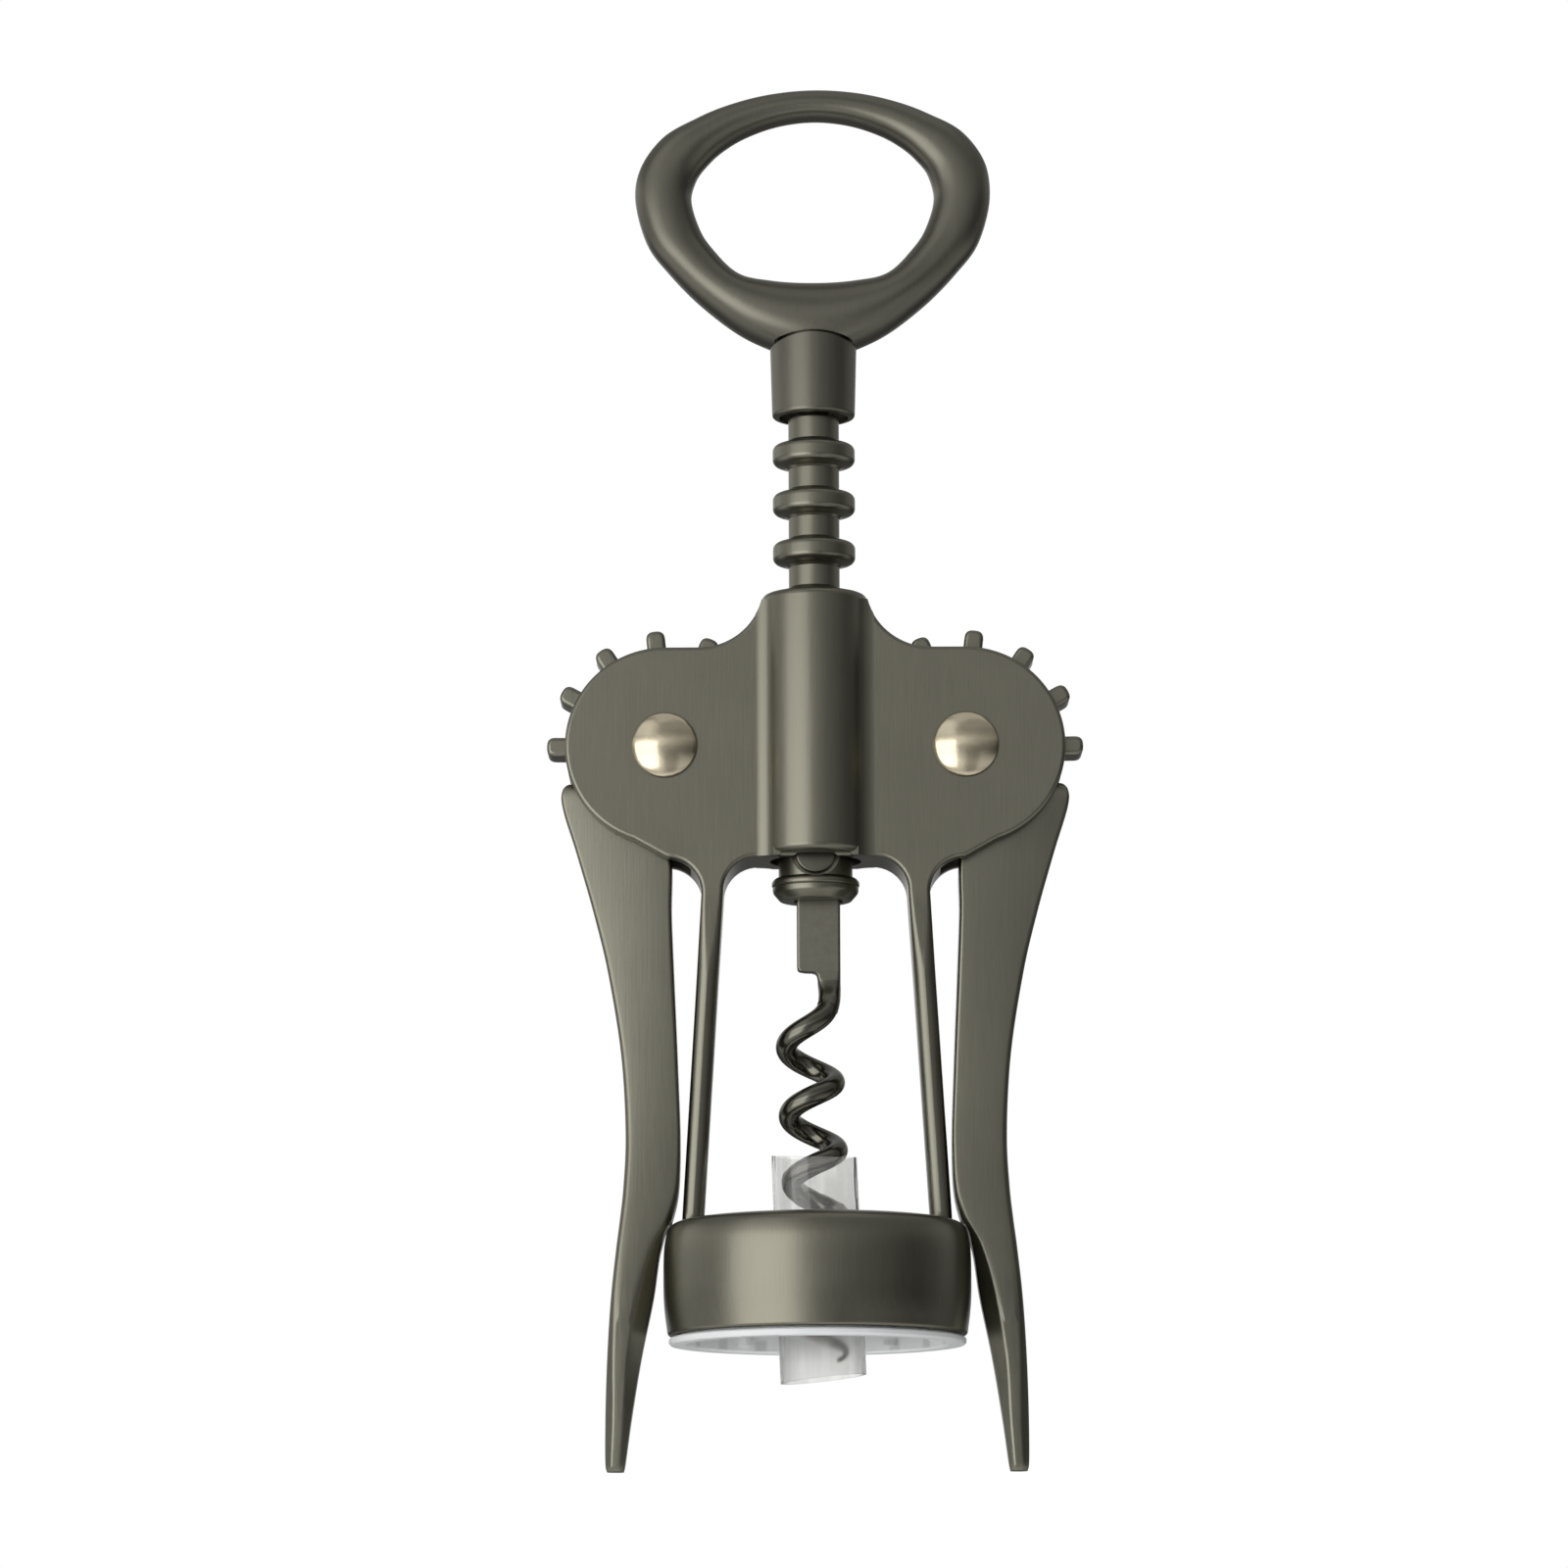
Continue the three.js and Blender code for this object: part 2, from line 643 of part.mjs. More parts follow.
function ringProfile(height) {
  return [
    [rackCoreRadius, height - ringRootHalf],
    [rackRingRadius - ringEdgeRound, height - ringShoulderHalf],
    [rackRingRadius, height - ringRimHalf],
    [rackRingRadius, height + ringRimHalf],
    [rackRingRadius - ringEdgeRound, height + ringShoulderHalf],
    [rackCoreRadius, height + ringRootHalf],
  ];
}

function rackGeometry() {
  const bore = spindleRadius + runningGap;
  const profile = [[bore, rackFootHeight], [rackCoreRadius, rackFootHeight]];
  const bottomRing = topRingHeight - (rackRingCount - 1) * rackPitch;
  for (let i = 0; i < rackRingCount; i += 1) {
    profile.push(...ringProfile(bottomRing + i * rackPitch));
  }
  profile.push([rackCoreRadius, rackTopHeight - ringEdgeRound],
    [rackCoreRadius - ringEdgeRound, rackTopHeight], [bore, rackTopHeight], [bore, rackFootHeight]);
  return turned(profile, rackSides);
}

// Spindle, hub and collar in one turned bar, with the tang's slot and the pin's hole

function spindleGeometry() {
  const collarTop = collarFootHeight + collarHeight;
  const profile = [
    [0, collarFootHeight],
    [collarRadius - collarRound, collarFootHeight],
    [collarRadius, collarFootHeight + collarRound],
    [collarRadius, collarTop - collarRound],
    [collarRadius - collarRound, collarTop],
    [hubRadius, collarTop],
    [hubRadius, hubTopHeight - hubChamfer],
    [hubRadius - hubChamfer, hubTopHeight],
    [spindleRadius, hubTopHeight],
    [spindleRadius, spindleTopHeight],
    [0, spindleTopHeight],
  ];
  const slotHeight = tangTopHeight + seatGap - collarFootHeight + overrun;
  const slot = new THREE.BoxGeometry(tangWidth + 2 * seatGap, tangThickness + 2 * seatGap, slotHeight);
  slot.translate(tangShift, 0, tangTopHeight + seatGap - slotHeight / 2);
  let solid = solidOf(turned(profile, roundSides)).subtract(solidOf(slot));
  const pinHole = crossBar(pinRadius + seatGap, 2 * hubRadius + overrun, 0, 0, pinHeight());
  solid = solid.subtract(solidOf(pinHole));
  for (const side of [-1, 1]) {
    const depth = pinSeatDepth + overrun;
    const y = side * (hubRadius - pinSeatDepth + depth / 2);
    solid = solid.subtract(solidOf(crossBar(pinSeatRadius, depth, 0, y, pinHeight())));
  }
  return geometryOf(solid);
}

// The pin's round seat just clears the collar.
function pinHeight() {
  return collarFootHeight + collarHeight + pinSeatRadius;
}

function pinGeometry() {
  const half = hubRadius - pinSeatDepth / 2;
  const profile = [[0, -half], [pinRadius - pinEndRound, -half], [pinRadius, pinEndRound - half],
    [pinRadius, half - pinEndRound], [pinRadius - pinEndRound, half], [0, half]];
  const geometry = turned(profile, smallSides);
  geometry.rotateX(Math.PI / 2);
  geometry.translate(0, 0, pinHeight());
  return geometry;
}

// Worm

const neckX = tangShift + tangWidth / 2 - wireRadius;

// X of the leaning helix's own axis at a height.
function helixAxisX(height) {
  const topX = neckX - helixRadius;
  return (topX * (height - helixCrossHeight)) / (helixLeanHeight - helixCrossHeight);
}

function wormPath() {
  const turns = (helixStartHeight - wormTipHeight) / helixPitch;
  const steps = Math.round(turns * helixStepsPerTurn);
  const points = [
    new THREE.Vector3(neckX, 0, tangFootHeight + neckRound),
    new THREE.Vector3(neckX, 0, (tangFootHeight + helixStartHeight) / 2),
  ];
  for (let i = 1; i <= steps; i += 1) {
    const turn = (turns * i) / steps;
    const z = helixStartHeight - helixPitch * turn;
    const angle = -2 * Math.PI * turn;
    points.push(new THREE.Vector3(helixAxisX(z) + helixRadius * Math.cos(angle),
      helixRadius * Math.sin(angle), z));
  }
  return points;
}

// A round wire through points, its radius given at each; the section is carried along unturned.
function wireThrough(points, radii, sides) {
  const side = new THREE.Vector3(1, 0, 0);
  const rings = points.map((point, i) => {
    const ahead = points[Math.min(i + 1, points.length - 1)];
    const behind = points[Math.max(i - 1, 0)];
    const along = ahead.clone().sub(behind).normalize();
    side.addScaledVector(along, -side.dot(along)).normalize();
    const across = new THREE.Vector3().crossVectors(along, side);
    return Array.from({ length: sides }, (_, j) => {
      const angle = (2 * Math.PI * (j + 0.5)) / sides;
      return point.clone().addScaledVector(side, radii[i] * Math.cos(angle))
        .addScaledVector(across, radii[i] * Math.sin(angle));
    });
  });
  return loft(rings);
}

function tangSolid() {
  const right = tangShift + tangWidth / 2;
  const left = tangShift - tangWidth / 2;
  const neckLeft = right - 2 * wireRadius;
  const shape = new THREE.Shape();
  shape.moveTo(right, tangTopHeight);
  shape.lineTo(left, tangTopHeight);
  shape.lineTo(left, tangFootHeight + tangCornerRound);
  shape.quadraticCurveTo(left, tangFootHeight, left + tangCornerRound, tangFootHeight);
  shape.lineTo(neckLeft - tangCornerRound, tangFootHeight);
  shape.quadraticCurveTo(neckLeft, tangFootHeight, neckLeft, tangFootHeight - neckRound);
  shape.lineTo(right, tangFootHeight - neckRound);
  const blade = solidOf(standingExtrusion(shape, tangThickness, tangEdgeRound));
  const hole = crossBar(pinRadius + seatGap, 2 * tangThickness, 0, 0, pinHeight());
  return blade.subtract(solidOf(hole));
}

function wormGeometry() {
  const points = wormPath();
  const taperSteps = wormTaperTurns * helixStepsPerTurn;
  const radii = points.map((_, i) => {
    const left = (points.length - 1 - i) / taperSteps;
    return wormTipRadius + (wireRadius - wormTipRadius) * Math.min(1, left);
  });
  return geometryOf(tangSolid().add(solidOf(wireThrough(points, radii, wireSides))));
}

// Sleeve on the worm's tip

// Two shallow arcs that meet in the creases of the lay-flat tube.
function lensPoints(halfWidth, halfDepth) {
  const radius = (halfWidth ** 2 + halfDepth ** 2) / (2 * halfDepth);
  const spread = Math.asin(Math.min(halfWidth / radius, 1));
  const front = Array.from({ length: sleeveSteps }, (_, i) => {
    const angle = -spread + (2 * spread * i) / sleeveSteps;
    return [radius * Math.sin(angle), radius - halfDepth - radius * Math.cos(angle)];
  });
  return [...front, ...front.map(([x, y]) => [-x, -y])];
}

function sleeveGeometry() {
  const outline = (points) => points.map(([x, y]) => new THREE.Vector2(x, y));
  const shape = new THREE.Shape(outline(lensPoints(sleeveHalfWidth, sleeveHalfDepth)));
  const bore = lensPoints(sleeveHalfWidth - sleeveWall, sleeveHalfDepth - sleeveWall);
  shape.holes.push(new THREE.Path(outline(bore).reverse()));
  const geometry = new THREE.ExtrudeGeometry(shape, { depth: sleeveLength, bevelEnabled: false });
  const p = geometry.attributes.position;
  const footHeight = sleeveTopHeight - sleeveLength;
  for (let i = 0; i < p.count; i += 1) {
    const isTop = p.getZ(i) > sleeveLength / 2;
    const z = footHeight + p.getZ(i) + (isTop ? sleeveTopCutShare : 1) * sleeveCutSlope * p.getX(i);
    p.setXYZ(i, p.getX(i) + helixAxisX(z), p.getY(i), z);
  }
  return geometry;
}

// Handle

// Half of the ring from the top to the base: hole edge, outer edge and half depth.
// X is in shares of the half width, Z in shares of the height above or below the widest place.
const ringStationShares = [
  [0, 0.292, 0, 0.406, 0.52],
  [0.36, 0.24, 0.53, 0.355, 0.53],
  [0.57, 0.15, 0.85, 0.238, 0.58],
  [0.683, 0.008, 1.0, 0.008, 0.62],
  [0.64, -0.113, 0.94, -0.157, 0.65],
  [0.543, -0.2, 0.825, -0.265, 0.7],
  [0.415, -0.28, 0.615, -0.405, 0.79],
  [0.24, -0.307, 0.34, -0.53, 0.92],
  [0, -0.316, 0, -0.594, 1.0],
];

function ringSection(station) {
  const half = handleWidth / 2;
  const holeScale = handleHoleWidth / handleWidth / ringStationShares[3][0];
  const middle = handleTopHeight - ringStationShares[0][3] * handleHeight;
  const inner = new THREE.Vector3(station[0] * half * holeScale, 0, middle + station[1] * handleHeight);
  const outer = new THREE.Vector3(station[2] * half, 0, middle + station[3] * handleHeight);
  const centre = inner.clone().add(outer).multiplyScalar(0.5);
  const arm = outer.clone().sub(inner).multiplyScalar(0.5);
  const depth = station[4] * handleHalfDepth;
  return Array.from({ length: ringSectionSides }, (_, j) => {
    const angle = (2 * Math.PI * j) / ringSectionSides;
    const soft = (value) => Math.sign(value) * Math.abs(value) ** ringSquareness;
    const point = centre.clone().addScaledVector(arm, soft(Math.cos(angle)));
    point.y = depth * soft(Math.sin(angle));
    return point;
  });
}

function ringSolid() {
  const columns = [0, 1, 2, 3, 4];
  const right = ringStationShares;
  const left = right.slice(1, -1).reverse().map((row) => [-row[0], row[1], -row[2], row[3], row[4]]);
  const loop = [...right, ...left];
  const steps = ringStepsPerStation * loop.length;
  const curve = (first) => new THREE.CatmullRomCurve3(loop.map((row) =>
    new THREE.Vector3(...columns.slice(first, first + 3).map((c) => row[c] ?? 0))), true);
  const [inner, rest] = [curve(0), curve(2)];
  const rings = Array.from({ length: steps }, (_, i) => {
    const a = inner.getPoint(i / steps);
    const b = rest.getPoint(i / steps);
    return ringSection([a.x, a.y, b.x, b.y, b.z]);
  });
  return solidOf(loft(rings, true));
}

function handleGeometry() {
  const top = socketFootHeight + socketRise + socketRecessDepth;
  const profile = [
    [0, socketFootHeight],
    [socketFootRadius - socketEdgeRound, socketFootHeight],
    [socketFootRadius, socketFootHeight + socketEdgeRound],
    [socketTopRadius, top],
    [socketTopRadius - socketEdgeRound, top + socketEdgeRound],
    [0, top + socketEdgeRound],
  ];
  const recess = new THREE.CylinderGeometry(socketRecessRadius, socketRecessRadius,
    socketRecessDepth + overrun, roundSides);
  recess.rotateX(Math.PI / 2);
  recess.translate(0, 0, socketFootHeight + (socketRecessDepth - overrun) / 2);
  const boreTop = spindleTopHeight + seatGap;
  const boreLength = boreTop - socketFootHeight + overrun;
  const bore = new THREE.CylinderGeometry(spindleRadius + seatGap, spindleRadius + seatGap, boreLength,
    roundSides);
  bore.rotateX(Math.PI / 2);
  bore.translate(0, 0, boreTop - boreLength / 2);
  return geometryOf(ringSolid().add(solidOf(turned(profile, roundSides)))
    .subtract(solidOf(recess)).subtract(solidOf(bore)));
}

// Assembly

const corkscrew = new THREE.Group();
corkscrew.add(
  piece('frame', frameGeometry(), 'castMetal'),
  piece('bell_liner', linerGeometry(), 'frostedPlastic'),
  piece('rack_sleeve', rackGeometry(), 'castMetal'),
  piece('spindle', spindleGeometry(), 'castMetal'),
  piece('handle', handleGeometry(), 'castMetal'),
  piece('worm', wormGeometry(), 'darkSteel'),
  piece('worm_pin', pinGeometry(), 'darkSteel'),
  piece('tip_sleeve', sleeveGeometry(), 'clearPlastic'),
);
for (const [label, side] of [['left', -1], ['right', 1]]) {
  corkscrew.add(
    piece(`lever_${label}`, leverGeometry(side), 'castMetal'),
    piece(`rivet_${label}`, rivetGeometry(side), 'nickel'),
    piece(`rivet_cap_${label}`, rivetCapGeometry(side), 'nickel'),
  );
}

export default corkscrew;
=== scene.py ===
"""Wing corkscrew with a cap-lifter handle: its looks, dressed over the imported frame.

Meshes are drawn in millimetres in the row frame, front to -Y, and made metres when finished.
"""

import json
import math

import bmesh
import bpy
from mathutils import Euler, Matrix, Vector

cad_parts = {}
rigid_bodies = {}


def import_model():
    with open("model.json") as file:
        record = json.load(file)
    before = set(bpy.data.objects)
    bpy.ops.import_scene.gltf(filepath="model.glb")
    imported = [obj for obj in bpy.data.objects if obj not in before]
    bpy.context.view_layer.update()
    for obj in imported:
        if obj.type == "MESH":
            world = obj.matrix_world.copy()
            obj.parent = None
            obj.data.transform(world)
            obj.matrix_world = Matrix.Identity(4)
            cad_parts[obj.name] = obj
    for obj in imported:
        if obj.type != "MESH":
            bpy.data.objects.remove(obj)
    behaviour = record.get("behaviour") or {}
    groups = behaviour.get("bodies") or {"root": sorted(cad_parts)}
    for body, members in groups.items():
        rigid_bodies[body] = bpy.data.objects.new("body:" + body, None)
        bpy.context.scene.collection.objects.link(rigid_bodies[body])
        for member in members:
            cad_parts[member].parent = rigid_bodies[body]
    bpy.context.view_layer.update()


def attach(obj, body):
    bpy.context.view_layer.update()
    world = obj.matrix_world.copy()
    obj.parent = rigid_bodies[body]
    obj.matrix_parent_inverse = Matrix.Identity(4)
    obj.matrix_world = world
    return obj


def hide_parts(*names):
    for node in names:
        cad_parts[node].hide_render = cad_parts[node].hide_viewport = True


for leftover in list(bpy.data.objects):
    bpy.data.objects.remove(leftover)
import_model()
MILLIMETRE = 0.001
LEFT, RIGHT = -1, 1
CREASE_DEGREES = 35

# Sizes of the object, as in the frame
RACK_PITCH = 6.64
TEETH_PER_TURN = 13
TOOTH_COUNT = 8
TOOTH_TIP_RADIUS = 15.798
TOOTH_WIDTH = 2.5
TOOTH_ANGLE = 2 * math.pi / TEETH_PER_TURN
TOOTH_LEAD = 0.0175
GEAR_RADIUS = 12.4
GEAR_THICKNESS = 5.8
RING_COUNT = 8
RING_RADIUS = 5.47
CORE_RADIUS = 3.37
LOWEST_RING = 59.21
RACK_FOOT = 57.3
RACK_TOP = 110.89
PIVOT_X = 19.498
PIVOT_Z = 65.85
PIVOT_HOLE_RADIUS = 2.5
PIVOT_HOLE_LENGTH = 14
EAR_X = 19.76
EAR_RADIUS = 13.1
EAR_FOOT_ANGLE = 0.32
PLATE_HALF_DEPTH = 5.5
PLATE_EDGE = 0.55
PLATE_BOTTOM = 51.1
POCKET_RADIUS = 16.4
POCKET_WIDTH = 6.6
OUTER_FILLET = 4.6
INNER_FILLET = 4.5
FLARE_RADIUS = 8.5
FLARE_START = 0.262
BARREL_RADIUS = 7.0
BARREL_HALF_DEPTH = 9.4
BARREL_SPREAD = BARREL_HALF_DEPTH - BARREL_RADIUS
BARREL_FOOT = 51.5
BARREL_TOP = 86.3
BARREL_EDGE = 0.9
BARREL_FILLET = 2.8
BORE_RADIUS = 6.0
BORE_FOOT = 45
BORE_TOP = 90
LEG_WIDTH = 2.84
LEG_TOP_X = 13.53
LEG_FOOT_X = 16.2
LEG_TOP_Z = 46.4
LEG_FOOT_Z = 3.0
LEG_FOOT_HALF_DEPTH = 3.2
BELL_RADIUS = 20.05
BELL_TOP = 3.75
BELL_TOP_THICKNESS = 2
BELL_RIM = -11.2
BELL_RIM_INSET = 0.5
BELL_RIM_ROUND = 0.5
BELL_INNER_RADIUS = 18.05
BELL_HOLE_RADIUS = 12.75
LINER_RADIUS = 17.75
LINER_CORNER = 1.2
LINER_INNER_RADIUS = 16.85
LINER_TOP = 1.7
LINER_FLANGE_RADIUS = 19.35
LINER_FLANGE_TOP = -11.5
LINER_FLANGE_FOOT = -12.4
LINER_HOLE_RADIUS = 12.6
LINER_RIB_COUNT = 10
RIB_REACH = 1.85
RIB_SUNK = 0.45
RIB_HALF_WIDTH = 0.7
# Painted shade round the lining's inner lip: how many dark marks, their foot and top, the share of each
# step they cover, and how much darker
PAINTED_SHADE_COUNT = 17
PAINTED_SHADE_FOOT = -12.1
PAINTED_SHADE_TOP = -10.7
PAINTED_SHADE_SPAN = (0.35, 0.62)
PAINTED_SHADE_STRENGTH = -0.24
RIVET_RADIUS = 4.3
RIVET_HEIGHT = 1.5
RIVET_FACE = 5.8
RIVET_RIM = 0.85
RIVET_EDGE = 0.25
SHANK_RADIUS = 2.2
SHANK_LENGTH = 12.0
SHANK_HOLE_RADIUS = 2.5
SHANK_HOLE_DEPTH = 0.7
LEVER_LENGTH = 94.6
LEVER_REACH = 13.9
LEVER_BULGE = 4.0
# Painted shade on the levers: the height where it is darkest, how far it spreads, and how much darker
LEVER_SHADE_Z = 3.0
LEVER_SHADE_SPREAD = 15.0
LEVER_PAINTED_SHADE = -0.2
HANDLE_HEIGHT = 37.05
HANDLE_TOP = 155.62
HANDLE_HALF_WIDTH = 23.75
HANDLE_HOLE_HALF_WIDTH = 16.2
HANDLE_HALF_DEPTH = 6.4
SOCKET_FOOT = 110.8
SOCKET_TOP = 121.99
SOCKET_CORE_RADIUS = 4.6
SOCKET_RECESS = 1.2
SEAM_HEIGHT = 121.35
SEAM_ARCH_RADIUS = 14.0
SEAM_WIDTH = 0.42
SOCKET_FOOT_RADIUS = 5.5
SOCKET_TOP_RADIUS = 5.8
SPINDLE_RADIUS = 2.0
SPINDLE_TOP = 118.19
SPINDLE_BORE_RADIUS = 2.3
HUB_RADIUS = 4.87
HUB_TOP = 57.0
COLLAR_RADIUS = 5.77
COLLAR_FOOT = 45.8
COLLAR_TOP = 48.8
PIN_RADIUS = 1.5
PIN_Z = 51.75
PIN_SEAT_RADIUS = 3.2
PIN_SEAT_LENGTH = 3.6
PIN_HEAD_DEPTH = 0.8
PIN_HEAD_FOOT = 1.75
PIN_HEAD_RADIUS = 2.65
TANG_LEFT = -2.5
TANG_RIGHT = 3.2
TANG_FOOT = 36.5
TANG_TOP = 55.4
TANG_THICKNESS = 2.4
NECK_X = 1.8
NECK_WIDTH = 3.0
NECK_TOP = 35.4
NECK_FOOT = 31.5
WINDING_EASE = 2.4
WIRE_RADIUS = 1.4
HELIX_RADIUS = 3.06
HELIX_SHIFT = 0.14
HELIX_PITCH = 8.8
HELIX_START = 30.6
HELIX_LEAN_Z = 33.0
HELIX_CROSS_Z = -0.5
WORM_TIP = -14.6
WORM_TIP_RADIUS = 0.25
FILM_TOP = 12.2
FILM_LENGTH = 29.0
FILM_HALF_WIDTH = 5.6
FILM_HALF_DEPTH = 5.1
FILM_WALL = 0.3
FILM_SHIFT = 0.12
FILM_RIPPLE = 0.012
FILM_FOOT_SLOPE = 0.11
FILM_TOP_SLOPE = -0.02
FILM_DIP = 0.5


# Meshes


def placed(name, data):
    """A new object in the scene."""
    made = bpy.data.objects.new(name, data)
    bpy.context.scene.collection.objects.link(made)
    return made


def face_outwards(mesh):
    draft = bmesh.new()
    draft.from_mesh(mesh)
    bmesh.ops.recalc_face_normals(draft, faces=draft.faces)
    draft.to_mesh(mesh)
    draft.free()


def mesh_object(name, points, faces):
    mesh = bpy.data.meshes.new(name)
    mesh.from_pydata([tuple(p) for p in points], [], faces)
    face_outwards(mesh)
    return placed(name, mesh)


def skin_faces(rings, spans):
    """Quads between rings that follow each other; a last span may lead back to the first ring."""
    count = len(rings[0])
    faces = []
    for i in range(spans):
        here = i * count
        there = (i + 1) % len(rings) * count
        for j in range(count):
            k = (j + 1) % count
            faces.append((here + j, here + k, there + k, there + j))
    return faces


def loft(name, rings, looped=False):
    """A closed skin over rings of equally many points; a loop joins its last ring to its first."""
    count = len(rings[0])
    points = [point for ring in rings for point in ring]
    faces = skin_faces(rings, len(rings) if looped else len(rings) - 1)
    if not looped:
        faces.append(tuple(range(count)))
        faces.append(tuple(range(len(points) - count, len(points))))
    return mesh_object(name, points, faces)


def lathe(name, profile, steps=96, looped=False):
    """A profile of (radius, height) turned about the Z axis; a radius of zero closes in a pole."""
    points = []
    rows = []
    for radius, height in profile:
        first = len(points)
        if radius < 1e-6:
            points.append((0, 0, height))
            rows.append([first] * steps)
            continue
        for j in range(steps):
            angle = 2 * math.pi * j / steps
            points.append((radius * math.cos(angle), radius * math.sin(angle), height))
        rows.append(list(range(first, first + steps)))
    if looped:
        rows.append(rows[0])
    faces = []
    for low, high in zip(rows, rows[1:]):
        for j in range(steps):
            k = (j + 1) % steps
            corners = [low[j], low[k], high[k], high[j]]
            kept = [c for i, c in enumerate(corners) if c != corners[i - 1]]
            if len(kept) > 2:
                faces.append(tuple(kept))
    return mesh_object(name, points, faces)


def flat(*pairs):
    return [Vector(pair) for pair in pairs]


def rectangle(left, bottom, right, top):
    return [(left, bottom), (right, bottom), (right, top), (left, top)]


def both_sides(half):
    """An outline from the middle outwards, and back again mirrored."""
    return [*half, *[Vector((-p.x, p.y)) for p in reversed(half)]]


def both_ends(corners):
    """Corners (x, y, cut back) below the middle, and back again mirrored above it."""
    return [*corners, *[(x, -y, cut) for x, y, cut in reversed(corners)]]


def soft_bend(start, corner, end, t):
    return (1 - t) ** 2 * start + 2 * t * (1 - t) * corner + t ** 2 * end


def rounded_path(corners, closed=True, steps=5):
    """Corners (x, y, cut back) of a flat path, each turned into a soft bend."""
    count = len(corners)
    path = []
    for i, (x, y, cut) in enumerate(corners):
        here = Vector((x, y))
        is_end = not closed and i in (0, count - 1)
        if cut <= 0 or is_end:
            path.append(here)
            continue
        before = Vector(corners[i - 1][:2]) - here
        after = Vector(corners[(i + 1) % count][:2]) - here
        reach = min(cut, 0.48 * before.length, 0.48 * after.length)
        start = here + before.normalized() * reach
        end = here + after.normalized() * reach
        path += [soft_bend(start, here, end, j / steps) for j in range(steps + 1)]
    return path


def arc(centre_x, centre_y, radius, start, end, steps):
    angles = [start + (end - start) * i / steps for i in range(steps + 1)]
    return [Vector((centre_x + radius * math.cos(a), centre_y + radius * math.sin(a))) for a in angles]


def outward_normals(outline):
    """Outward directions at the corners of a flat outline, long enough to offset its sides by one."""
    count = len(outline)
    area = sum(outline[i - 1].cross(outline[i]) for i in range(count))
    turn = 1 if area > 0 else -1
    sides = []
    for i in range(count):
        along = (outline[(i + 1) % count] - outline[i]).normalized()
        sides.append(Vector((along.y, -along.x)) * turn)
    return [(sides[i - 1] + sides[i]) / max(1 + sides[i - 1].dot(sides[i]), 0.3) for i in range(count)]


def soft_slab_rings(outline, halves, edges, steps):
    """Rings from front to back over a standing slab with a rounded edge all round."""
    normals = outward_normals(outline)
    rings = []
    for side in (-1, 1):
        for step in range(steps + 1):
            share = step / steps
            turn = (1 - share if side < 0 else share) * math.pi / 2
            ring = []
            for point, normal, half, edge in zip(outline, normals, halves, edges):
                spot = point - normal * edge * (1 - math.cos(turn))
                ring.append((spot.x, side * (half - edge * (1 - math.sin(turn))), spot.y))
            rings.append(ring)
    return rings


def soft_slab(name, outline, half_depth, edge, steps=4):
    count = len(outline)
    return loft(name, soft_slab_rings(flat(*outline), [half_depth] * count, [edge] * count, steps))


def laid_down(obj, x, y, z, turn=math.pi / 2):
    """Lays an upright shape along Y, with its origin at a place."""
    obj.data.transform(Matrix.Translation((x, y, z)) @ Matrix.Rotation(turn, 4, "X"))
    return obj


def upright_bar(name, radius, foot, top, steps=96):
    return lathe(name, [(0, foot), (radius, foot), (radius, top), (0, top)], steps)


def cross_bar(name, radius, length, x, y, z, steps=64):
    return laid_down(upright_bar(name, radius, -length / 2, length / 2, steps), x, y, z)


def mirrored(obj, name):
    """A copy on the other side of the middle plane."""
    twin = placed(name, obj.data.copy())
    twin.data.transform(Matrix.Scale(-1, 4, (1, 0, 0)))
    face_outwards(twin.data)
    return twin


def baked(obj):
    """Turns an object with modifiers into a plain mesh."""
    bpy.context.view_layer.update()
    evaluated = obj.evaluated_get(bpy.context.evaluated_depsgraph_get())
    mesh = bpy.data.meshes.new_from_object(evaluated)
    obj.modifiers.clear()
    obj.data = mesh
    return obj


def combined(base, added=(), cut=(), shared=()):
    """Joins solids to a base, keeps what it shares with others, and cuts others out of it."""
    steps = [("UNION", other) for other in added]
    steps += [("INTERSECT", other) for other in shared]
    steps += [("DIFFERENCE", other) for other in cut]
    for operation, other in steps:
        modifier = base.modifiers.new("Join", "BOOLEAN")
        modifier.operation = operation
        modifier.solver = "MANIFOLD"
        modifier.object = other
    baked(base)
    for _, other in steps:
        bpy.data.objects.remove(other)
    return base


def finish_piece(obj, body, nodes, material):
    """Metres, smooth faces with crisp creases, the material, and the piece's place in the frame."""
    mesh = obj.data
    mesh.transform(Matrix.Scale(MILLIMETRE, 4))
    mesh.materials.clear()
    mesh.materials.append(material)
    for face in mesh.polygons:
        face.material_index = 0
        face.use_smooth = True
    mesh.set_sharp_from_angle(angle=math.radians(CREASE_DEGREES))
    normals = obj.modifiers.new("Even Shading", "WEIGHTED_NORMAL")
    normals.keep_sharp = True
    baked(obj)
    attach(obj, body)
    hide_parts(*nodes)


# Node trees


class Value:
    """A node's output, so that sums made of nodes can be written like plain sums."""

    def __init__(self, tree, socket):
        self.tree = tree
        self.socket = socket

    def through(self, operation, *others):
        return output_of(self.tree, "ShaderNodeMath", [self, *others], operation)

    def __add__(self, other):
        return self.through("ADD", other)

    def __sub__(self, other):
        return self.through("SUBTRACT", other)

    def __mul__(self, other):
        return self.through("MULTIPLY", other)

    def __truediv__(self, other):
        return self.through("DIVIDE", other)


def plug(tree, value, socket):
    """Joins an input to an output or sets it; a colour is opaque."""
    if isinstance(value, Value):
        tree.links.new(value.socket, socket)
    elif socket.type == "RGBA":
        socket.default_value = (*value, 1)
    else:
        socket.default_value = value


def fill(tree, node, inputs):
    """Joins or sets inputs that are given by name or in their order."""
    pairs = inputs.items() if isinstance(inputs, dict) else enumerate(inputs)
    for label, value in pairs:
        plug(tree, value, node.inputs[label])
    return node


